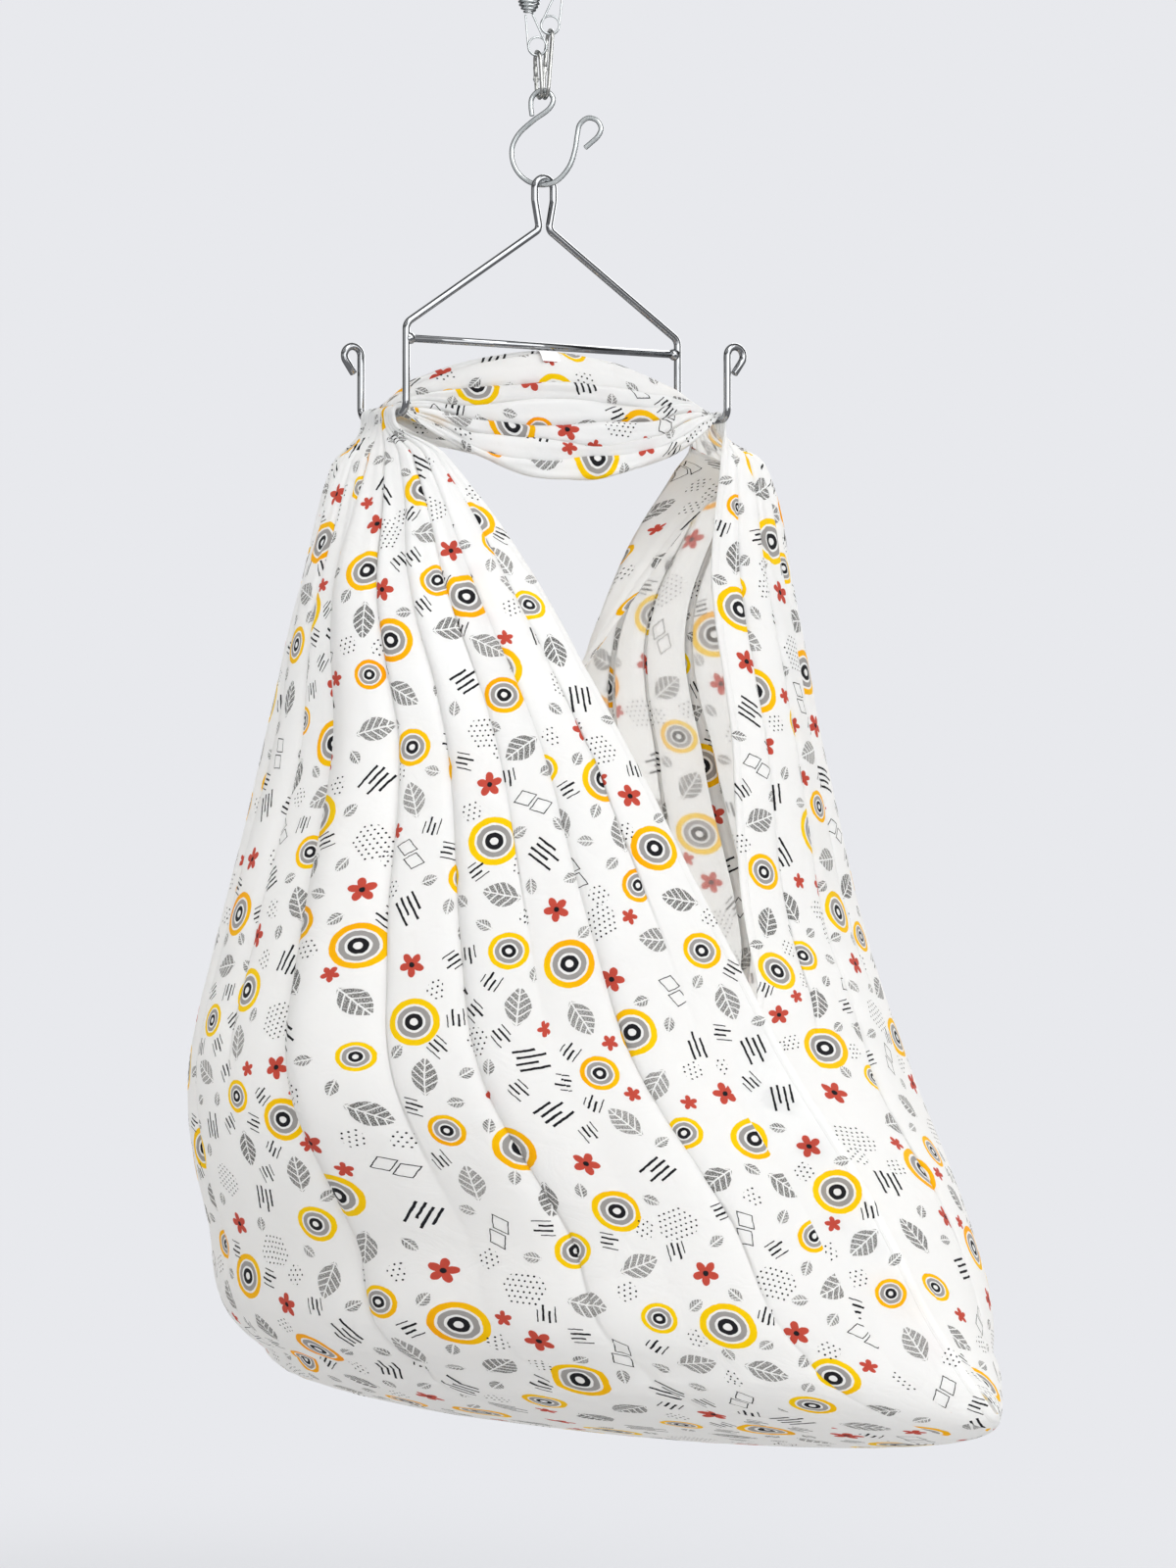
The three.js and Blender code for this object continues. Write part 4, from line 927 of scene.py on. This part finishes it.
class Amount:
    """An output of a shader tree; Python's signs on it add the maths nodes of the same meaning."""

    def __init__(self, tree, socket):
        self.tree, self.socket = tree, socket

    def maths(self, operation, *values, clamp=False):
        plain = {at: getattr(value, "socket", value) for at, value in enumerate(values)}
        node = add_node(self.tree, "ShaderNodeMath", plain, operation=operation, use_clamp=clamp)
        return Amount(self.tree, node.outputs["Value"])

    def __add__(self, other):
        return self.maths("ADD", self, other)

    def __sub__(self, other):
        return self.maths("SUBTRACT", self, other)

    def __rsub__(self, other):
        return self.maths("SUBTRACT", other, self)

    def __mul__(self, other):
        return self.maths("MULTIPLY", self, other)

    def __truediv__(self, other):
        return self.maths("DIVIDE", self, other)

    def __mod__(self, other):
        return self.maths("FLOORED_MODULO", self, other)

    def __abs__(self):
        return self.maths("ABSOLUTE", self)

    def __gt__(self, other):
        return self.maths("GREATER_THAN", self, other)

    def floor(self):
        return self.maths("FLOOR", self)

    def from_middle(self):
        """How far the value is from the middle of its unit step, with its sign."""
        return self.maths("FRACT", self) - 0.5

    def either(self, other):
        return self.maths("MAXIMUM", self, other)

    def below(self, limit, soft=0.35):
        """One below the limit and nothing above it, with a soft edge."""
        upper = self.maths("ADD", limit, soft).socket
        node = add_node(self.tree, "ShaderNodeMapRange", {
            "Value": self.socket, "From Min": getattr(limit, "socket", limit), "From Max": upper,
            "To Min": 1.0, "To Max": 0.0})
        return Amount(self.tree, node.outputs["Result"])

    def blend(self, a, b):
        """The colour from a to b by this amount."""
        node = add_node(self.tree, "ShaderNodeMix", {"Factor": self.socket, "A": a, "B": b}, data_type="RGBA")
        return node.outputs["Result"]


def noise_amount(tree, place, **values):
    values = {name.title(): value for name, value in values.items()}
    node = add_node(tree, "ShaderNodeTexNoise", {"Vector": place, **values})
    return Amount(tree, node.outputs["Fac"])


def random_draws(tree, x, y):
    """Four random amounts for a pair of whole numbers."""
    seed = add_node(tree, "ShaderNodeCombineXYZ", {"X": x.socket, "Y": y.socket})
    chance = add_node(tree, "ShaderNodeTexWhiteNoise", {"Vector": seed.outputs["Vector"]},
                      noise_dimensions="2D")
    colour = add_node(tree, "ShaderNodeSeparateColor", {"Color": chance.outputs["Color"]})
    draws = [colour.outputs[name] for name in ("Red", "Green", "Blue")] + [chance.outputs["Value"]]
    return [Amount(tree, draw) for draw in draws]


def length(x, y):
    return x.maths("SQRT", x * x + y * y)


def turned_by(x, y, share):
    angle = share * 6.28
    cosine, sine = angle.maths("COSINE", angle), angle.maths("SINE", angle)
    return x * cosine + y * sine, y * cosine - x * sine


def ring(radius, low, high):
    return radius.maths("MINIMUM", radius.below(high), 1.0 - radius.below(low))


def leaf(x, y, half_length, half_width):
    """A leaf with a midrib and slanting veins."""
    share = y.maths("DIVIDE", y + half_length, 2 * half_length, clamp=True) * 3.14159
    half = share.maths("SINE", share) * half_width
    slant = (y - abs(x) * 0.8) / (half_length * 0.36)
    veins = 1.0 - abs(slant.from_middle()).below(0.08, 0.05)
    return (abs(x) - half).below(0.0) * ((1.0 - abs(x).below(0.6)) * veins)


def blossom(x, y, size):
    """Five round petals."""
    lobes = x.maths("ARCTAN2", y, x) * 2.5
    return length(x, y).below(abs(lobes.maths("COSINE", lobes)) * (size * 0.54) + size * 0.46)


def dots(x, y, size):
    """A loose patch of dots in staggered rows."""
    row = x / 5.6
    along = y / 5.6 + row.floor() % 2.0 * 0.5
    spots = length(row.from_middle(), along.from_middle()).below(0.17, 0.05)
    return spots * (length(x, y) + y * 0.4).below(size)


def strokes(x, y, spacing, half_length, reach):
    """Bold strokes side by side, every other one shorter."""
    stroke = x / spacing
    shorter = stroke.floor() % 2.0 * (half_length * 0.4)
    ends = abs(y + shorter).below(half_length - shorter * 0.6)
    return abs(stroke.from_middle()).below(0.17, 0.05) * (ends * abs(x).below(reach))


def diamond(x, y, move):
    return abs(abs(x - move) + abs(y + move) * 0.7 - 8.5).below(0.5)


def print_group():
    """The cotton's print: a colour and an ink mask from cloth coordinates in metres."""
    tree, inlet, outlet = new_group(
        "cotton print", "ShaderNodeTree", [("Cloth", "NodeSocketVector", None)],
        [("Colour", "NodeSocketColor"), ("Ink", "NodeSocketFloat")])
    cloth = inlet.outputs["Cloth"]
    # A hand-drawn wobble, then staggered cells
    wobble = add_node(tree, "ShaderNodeTexNoise", {"Vector": cloth, "Scale": 160})
    shift = add_node(tree, "ShaderNodeVectorMath", {
        0: wobble.outputs["Color"], 1: (0.0016, 0.0016, 0), 2: cloth}, operation="MULTIPLY_ADD")
    split = add_node(tree, "ShaderNodeSeparateXYZ", {"Vector": shift.outputs["Vector"]})
    over, along = Amount(tree, split.outputs["X"]) / CELL[0], Amount(tree, split.outputs["Y"]) / CELL[1]
    column = over.floor()
    along = along + column % 2.0 * 0.5
    row = along.floor()
    red, green, blue, size_draw = random_draws(tree, column % REPEAT[0], row % REPEAT[1])
    # Kinds follow each other along a diagonal of the cells, so that no two alike touch
    kind = (column * 3.0 + row * 2.0) % 7.0
    kinds = [kind.maths("COMPARE", kind, float(number), 0.25) for number in range(7)]
    # Place inside the cell in millimetres
    cell_x, cell_y = over.from_middle() * (CELL[0] * 1000), along.from_middle() * (CELL[1] * 1000)

    # The main motif of each cell, moved and turned a little at random
    jitter = 3.0
    x0, y0 = cell_x - (red - 0.5) * jitter, cell_y - (green - 0.5) * jitter
    x, y = turned_by(x0, y0, blue)
    radius = length(x0, y0 * 1.06)
    big, small = radius / (size_draw * 0.12 + 0.96), radius / (size_draw * 0.22 + 0.62)
    rings_at = kinds[0] * big + (1.0 - kinds[0]) * small
    is_rings = kinds[0].either(kinds[3])
    outer, middle, core = ring(rings_at, 18.8, 25.2), ring(rings_at, 11.2, 16.6), ring(rings_at, 3.8, 8.8)
    leaves = kinds[1].either(kinds[5]) * leaf(x, y, 21.0, 12.5)
    flowers = kinds[2] * blossom(x, y, 13.0)
    eyes = kinds[2] * length(x, y).below(2.6)
    choice = size_draw > 0.5
    bars = strokes(x, y, 6.6, 14.0, 13.0) * (1.0 - choice)
    dark = kinds[4] * (dots(x, y, 17.0) * choice + bars)
    dark = dark.either(kinds[6] * (diamond(x, y, 5.5).either(diamond(x, y, -7.0)) * choice + bars))

    # Small motifs in the gaps between three cells, in about half of the gaps
    right, over_half = cell_x > 0.0, cell_y > 0.0
    gap_x = cell_x - (right * 2.0 - 1.0) * 21.0
    gap_y = cell_y - (over_half * 2.0 - 1.0) * (CELL[1] * 500)
    gap_kind, gap_turn, _, _ = random_draws(
        tree, (column * 2.0 + right) % GAP_REPEAT[0], (row + over_half) % GAP_REPEAT[1] + GAP_SEED)
    x, y = turned_by(gap_x, gap_y, gap_turn)

    def between(low, high):
        return (gap_kind > low) * (1.0 - (gap_kind > high))

    flowers = flowers.either(between(0.0, 0.04) * blossom(x, y, 8.5))
    leaves = leaves.either(between(0.04, 0.26) * leaf(x, y, 9.5, 5.5))
    dark = dark.either(between(0.26, 0.42) * strokes(x, y, 5.6, 8.5, 8.4))
    dark = dark.either(between(0.42, 0.56) * dots(x, y, 9.0))

    # Inks: yellow that drifts to orange, and leaves mottled where the screen printed thin
    speckle = 1.0 - noise_amount(tree, cloth, scale=900, detail=3).below(0.43, 0.06)
    drift = noise_amount(tree, cloth, scale=5) - 0.42
    paint = drift.maths("MULTIPLY", drift, 3.0, clamp=True).blend(YELLOW, ORANGE)
    result = (is_rings * outer).blend(COTTON, paint)
    result = (is_rings * middle).blend(result, LIGHT_GREY)
    result = (is_rings * core).blend(result, CHARCOAL)
    result = (leaves * (speckle * 0.6 + 0.4)).blend(result, red.blend(LEAF_GREY, LEAF_PALE))
    result = flowers.blend(result, CORAL)
    result = dark.either(eyes).blend(result, CHARCOAL)
    ink = (is_rings * outer.either(middle.either(core))).either(leaves).either(flowers.either(dark))
    fill(tree, outlet, {"Colour": result, "Ink": ink.socket})
    return tree


def weave_group():
    """Height of a plain weave, of small creases and of the stitched hems, from cloth coordinates."""
    tree, inlet, outlet = new_group(
        "plain weave", "ShaderNodeTree", [("Cloth", "NodeSocketVector", None)],
        [("Threads", "NodeSocketFloat"), ("Creases", "NodeSocketFloat"), ("Hem", "NodeSocketFloat")])
    cloth = inlet.outputs["Cloth"]
    split = add_node(tree, "ShaderNodeSeparateXYZ", {"Vector": cloth})
    over, along = Amount(tree, split.outputs["X"]), Amount(tree, split.outputs["Y"])
    warp, weft = over.maths("SINE", over * THREADS), along.maths("SINE", along * THREADS)
    creases = noise_amount(tree, cloth, scale=22, detail=4, roughness=0.55, distortion=0.8)
    from_hem = over.maths("MINIMUM", abs(over), abs(over - CLOTH_WIDTH))
    stitch_at = along * STITCHES
    stitch = abs(from_hem - 0.0078).below(0.0003, 0.0004) * (along.maths("FRACT", stitch_at) > 0.35)
    hem = from_hem.below(0.009, 0.0008) - stitch * 0.8
    fill(tree, outlet, {"Threads": (warp * weft).socket, "Creases": creases.socket, "Hem": hem.socket})
    return tree


cotton_print, plain_weave = print_group(), weave_group()


def cotton(name, faintness, cloth, light_share):
    """Printed cotton; faintness says how far the print is lost, light_share how much light passes."""
    material, tree = new_material(name)
    place = add_node(tree, "ShaderNodeUVMap", uv_map="UVMap").outputs["UV"]
    ink = add_node(tree, "ShaderNodeGroup", {"Cloth": place}, node_tree=cotton_print)
    weave = add_node(tree, "ShaderNodeGroup", {"Cloth": place}, node_tree=plain_weave)
    lost = 1.0 - Amount(tree, ink.outputs["Ink"]) * (1.0 - faintness)
    faded = lost.blend(ink.outputs["Colour"], cloth)
    normal = {}
    for relief, strength, distance in (
            ("Threads", 0.3, 0.00015), ("Creases", 0.5, 0.004), ("Hem", 0.6, 0.0008)):
        bump = add_node(tree, "ShaderNodeBump", {
            "Height": weave.outputs[relief], "Strength": strength, "Distance": distance, **normal})
        normal = {"Normal": bump.outputs["Normal"]}
    shader = fill(tree, tree.nodes["Principled BSDF"], {
        "Base Color": faded, "Roughness": 0.88, "Specular IOR Level": 0.2,
        "Sheen Weight": 0.12, "Sheen Roughness": 0.5, **normal})
    glow = add_node(tree, "ShaderNodeBsdfTranslucent", {"Color": faded, **normal})
    mixed = add_node(tree, "ShaderNodeMixShader", {
        "Fac": light_share, 1: shader.outputs["BSDF"], 2: glow.outputs["BSDF"]})
    fill(tree, tree.nodes["Material Output"], {"Surface": mixed.outputs["Shader"]})
    return material


printed = cotton("printed cotton", 0.0, COTTON, 0.55)
# The inner side: its print is faint, and its cotton carries painted light, brighter and creamier than the
# outer side
printed_inside = cotton("printed cotton, inner side painted lighter", 0.86, INNER_COTTON_PAINTED_LIGHTER, 0.72)
sling = add_piece("sling_smooth", mesh, printed, "cotton")
sling.data.materials.append(printed_inside)
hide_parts("sling_cloth")
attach(sling, "hanger")


# Label
# A short bare strip of white satin tape with fine ribs. It lies over the top of the band's middle,
# a little towards the front, where it is sewn on.
LABEL_WIDTH = 0.022
LABEL_LIFT = 0.0016
TAPE = 0.0005
LABEL_COLUMNS = range(PLEATS // 2 * PLEAT_COLUMNS - 6, PLEATS // 2 * PLEAT_COLUMNS + 2)
LABEL_SHARES = (-0.5, -0.17, 0.17, 0.5)

tape, tree = new_material("satin tape")
place = add_node(tree, "ShaderNodeTexCoord")
stretch = add_node(tree, "ShaderNodeVectorMath", {0: place.outputs["Object"], 1: (0.08, 1, 1)},
                   operation="MULTIPLY")
ribs = noise_amount(tree, stretch.outputs["Vector"], scale=700)
relief = add_node(tree, "ShaderNodeBump", {"Height": ribs.socket, "Strength": 0.3, "Distance": 0.0002})
fill(tree, tree.nodes["Principled BSDF"], {
    "Base Color": ribs.blend((0.84, 0.84, 0.85, 1), (0.92, 0.92, 0.92, 1)), "Sheen Weight": 0.3,
    "Roughness": (ribs * 0.2 + 0.4).socket, "Normal": relief.outputs["Normal"]})
shape = bmesh.new()
rows = []
for lift in (LABEL_LIFT, LABEL_LIFT + TAPE):
    for c in LABEL_COLUMNS:
        point = Vector(layers[0][start_ring][c]) + Vector(outward[start_ring][c]) * lift
        rows.append([shape.verts.new(point + Vector((x * LABEL_WIDTH, 0, 0))) for x in LABEL_SHARES])
half = len(LABEL_COLUMNS)
for start in (0, half):
    for a, b in zip(rows[start:start + half - 1], rows[start + 1:start + half]):
        for k in range(3):
            shape.faces.new((a[k], a[k + 1], b[k + 1], b[k]))
for a in range(half - 1):
    for k in (0, 3):
        shape.faces.new((rows[a][k], rows[a + 1][k], rows[half + a + 1][k], rows[half + a][k]))
for a in (0, half - 1):
    for k in range(3):
        shape.faces.new((rows[a][k], rows[a][k + 1], rows[half + a][k + 1], rows[half + a][k]))
bmesh.ops.recalc_face_normals(shape, faces=shape.faces)
label = add_piece("label_smooth", as_mesh("label", shape), tape, "label_tape")
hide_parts("label_tab")
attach(label, "hanger")


# Studio
# A pale floor well below the hanging cradle, a plain backdrop colour and soft lamps.
# The camera stands far off with a long lens, a little above the middle of the sling.
FRAME_WIDTH_PX, FRAME_HEIGHT_PX = 1200, 1600
FOCAL_PX = 5050
CAMERA_DISTANCE = 5.3
CAMERA_HEIGHT = -1.116
HANGER_AXIS_PX = 555
CAMERA_PITCH = math.radians(1.1)
FLOOR_DROP = 0.35
FLOOR_REACH = 40
FLOOR_FADE = (0.7, 2.6)
FLOOR_GREY = (0.52, 0.53, 0.55, 1)
# Painted reflection: the grey glow that polished metal sees in place of the floor
PAINTED_REFLECTION_GREY = (0.3, 0.3, 0.31, 1)
BACKDROP = (0.807, 0.815, 0.847, 1)
# What polished metal mirrors, as stops of place and brightness: from behind the cradle to the
# camera, and from the floor to the ceiling
AROUND = ((0.0, 0.8), (0.2, 0.75), (0.3, 0.3), (0.42, 0.04), (0.56, 0.06), (0.62, 0.9),
          (0.74, 0.95), (0.79, 0.12), (0.86, 0.1), (0.9, 0.85), (1.0, 0.95))
UPWARD = ((0.0, 0.25), (0.36, 0.35), (0.47, 1.0), (0.58, 1.0), (0.64, 0.3), (0.7, 0.35),
          (0.74, 1.0), (1.0, 1.0))


def add_to_scene(name, data):
    thing = bpy.data.objects.new(name, data)
    bpy.context.collection.objects.link(thing)
    return thing


def aim(thing, direction):
    thing.rotation_mode = "QUATERNION"
    thing.rotation_quaternion = direction.to_track_quat("-Z", "Y")


camera = add_to_scene("camera", bpy.data.cameras.new("camera"))
camera.data.sensor_fit = "AUTO"
camera.data.sensor_width = 36
camera.data.lens = camera.data.sensor_width * FOCAL_PX / FRAME_HEIGHT_PX
camera.location = -away * CAMERA_DISTANCE + up * CAMERA_HEIGHT
yaw = math.atan((FRAME_WIDTH_PX / 2 - HANGER_AXIS_PX) / FOCAL_PX)
level = away * math.cos(yaw) + across * math.sin(yaw)
aim(camera, level * math.cos(CAMERA_PITCH) + up * math.sin(CAMERA_PITCH))
bpy.context.scene.camera = camera

world = bpy.data.worlds.new("studio")
bpy.context.scene.world = world
world.use_nodes = True
sky = world.node_tree
light = fill(sky, sky.nodes["Background"], {"Color": (1, 1, 1, 1), "Strength": 0.95})
seen = add_node(sky, "ShaderNodeBackground", {"Color": BACKDROP})
facing = add_node(sky, "ShaderNodeTexCoord").outputs["Generated"]
toward = add_node(sky, "ShaderNodeVectorMath", {0: facing, 1: -away}, operation="DOT_PRODUCT")
heading = add_node(sky, "ShaderNodeSeparateXYZ", {"Vector": facing})
panels = []
for source, stops in ((toward.outputs["Value"], AROUND), (heading.outputs["Z"], UPWARD)):
    half_way = add_node(sky, "ShaderNodeMath", {0: source, 1: 0.5, 2: 0.5}, operation="MULTIPLY_ADD")
    ramp = add_node(sky, "ShaderNodeValToRGB", {"Fac": half_way.outputs["Value"]})
    for stop, grey in zip(ramp.color_ramp.elements, (stops[0][1], stops[-1][1])):
        stop.color = (grey, grey, grey, 1)
    for position, grey in stops[1:-1]:
        ramp.color_ramp.elements.new(position).color = (grey, grey, grey, 1)
    panels.append(ramp.outputs["Color"])
room = add_node(sky, "ShaderNodeVectorMath", {0: panels[0], 1: panels[1]}, operation="MULTIPLY")
mirrored = add_node(sky, "ShaderNodeBackground", {"Color": room.outputs["Vector"]})
rays = add_node(sky, "ShaderNodeLightPath")
around = add_node(sky, "ShaderNodeMixShader", {
    "Fac": rays.outputs["Is Glossy Ray"], 1: light.outputs["Background"], 2: mirrored.outputs["Background"]})
backdrop = add_node(sky, "ShaderNodeMixShader", {
    "Fac": rays.outputs["Is Camera Ray"], 1: around.outputs["Shader"], 2: seen.outputs["Background"]})
fill(sky, sky.nodes["World Output"], {"Surface": backdrop.outputs["Shader"]})

# The floor fades into the backdrop away from the cradle, and to polished metal it shows a painted reflection:
# a darker grey glow in place of the lit floor
floor_height = cad_box[0][2] - FLOOR_DROP
floor_mesh = bpy.data.meshes.new("floor")
floor_mesh.from_pydata([(x * FLOOR_REACH, y * FLOOR_REACH, floor_height)
                        for x, y in ((-1, -1), (1, -1), (1, 1), (-1, 1))], [], [(0, 1, 2, 3)])
floor = add_to_scene("floor", floor_mesh)
floor_paint, tree = new_material("pale floor")
paint = fill(tree, tree.nodes["Principled BSDF"], {"Base Color": FLOOR_GREY, "Roughness": 0.8})
place = add_node(tree, "ShaderNodeTexCoord")
flat = add_node(tree, "ShaderNodeVectorMath", {0: place.outputs["Object"], 1: (1, 1, 0)},
                operation="MULTIPLY")
far = add_node(tree, "ShaderNodeVectorMath", {0: flat.outputs["Vector"]}, operation="LENGTH")
fade = add_node(tree, "ShaderNodeMapRange", {
    "Value": far.outputs["Value"], "From Min": FLOOR_FADE[0], "From Max": FLOOR_FADE[1],
}, interpolation_type="SMOOTHSTEP")
rays = add_node(tree, "ShaderNodeLightPath")
share = add_node(tree, "ShaderNodeMath", {0: fade.outputs["Result"], 1: rays.outputs["Is Camera Ray"]},
                 operation="MULTIPLY")
backdrop = add_node(tree, "ShaderNodeEmission", {"Color": BACKDROP})
# Painted reflection: to glossy rays the floor glows a darker grey than it is lit
painted_reflection = add_node(tree, "ShaderNodeEmission", {"Color": PAINTED_REFLECTION_GREY})
faded = add_node(tree, "ShaderNodeMixShader", {
    "Fac": share.outputs["Value"], 1: paint.outputs["BSDF"], 2: backdrop.outputs["Emission"]})
seen = add_node(tree, "ShaderNodeMixShader", {
    "Fac": rays.outputs["Is Glossy Ray"], 1: faded.outputs["Shader"], 2: painted_reflection.outputs["Emission"]})
fill(tree, tree.nodes["Material Output"], {"Surface": seen.outputs["Shader"]})
floor_mesh.materials.append(floor_paint)

# Square lamps: bearing in degrees from the camera's side, height, distance, size, power and the
# height each one is aimed at
for name, bearing, height, distance, size, power, target in (
        ("key lamp", 42, 0.6, 3.6, 2.4, 44, -1.1), ("fill lamp", 8, -0.6, 4.2, 2.6, 30, -1.1),
        ("top lamp", 20, 2.2, 2.6, 1.8, 38, -0.9), ("back lamp", 160, 0.8, 3.6, 2.4, 64, -1.0)):
    lamp = add_to_scene(name, bpy.data.lights.new(name, "AREA"))
    lamp.data.shape = "SQUARE"
    lamp.data.size = size
    lamp.data.energy = power
    turn = math.radians(bearing) + VIEW_TURN
    lamp.location = Vector((math.sin(turn) * distance, -math.cos(turn) * distance, height))
    aim(lamp, Vector((0, 0, target)) - lamp.location)

bpy.context.scene.view_settings.view_transform = "Standard"
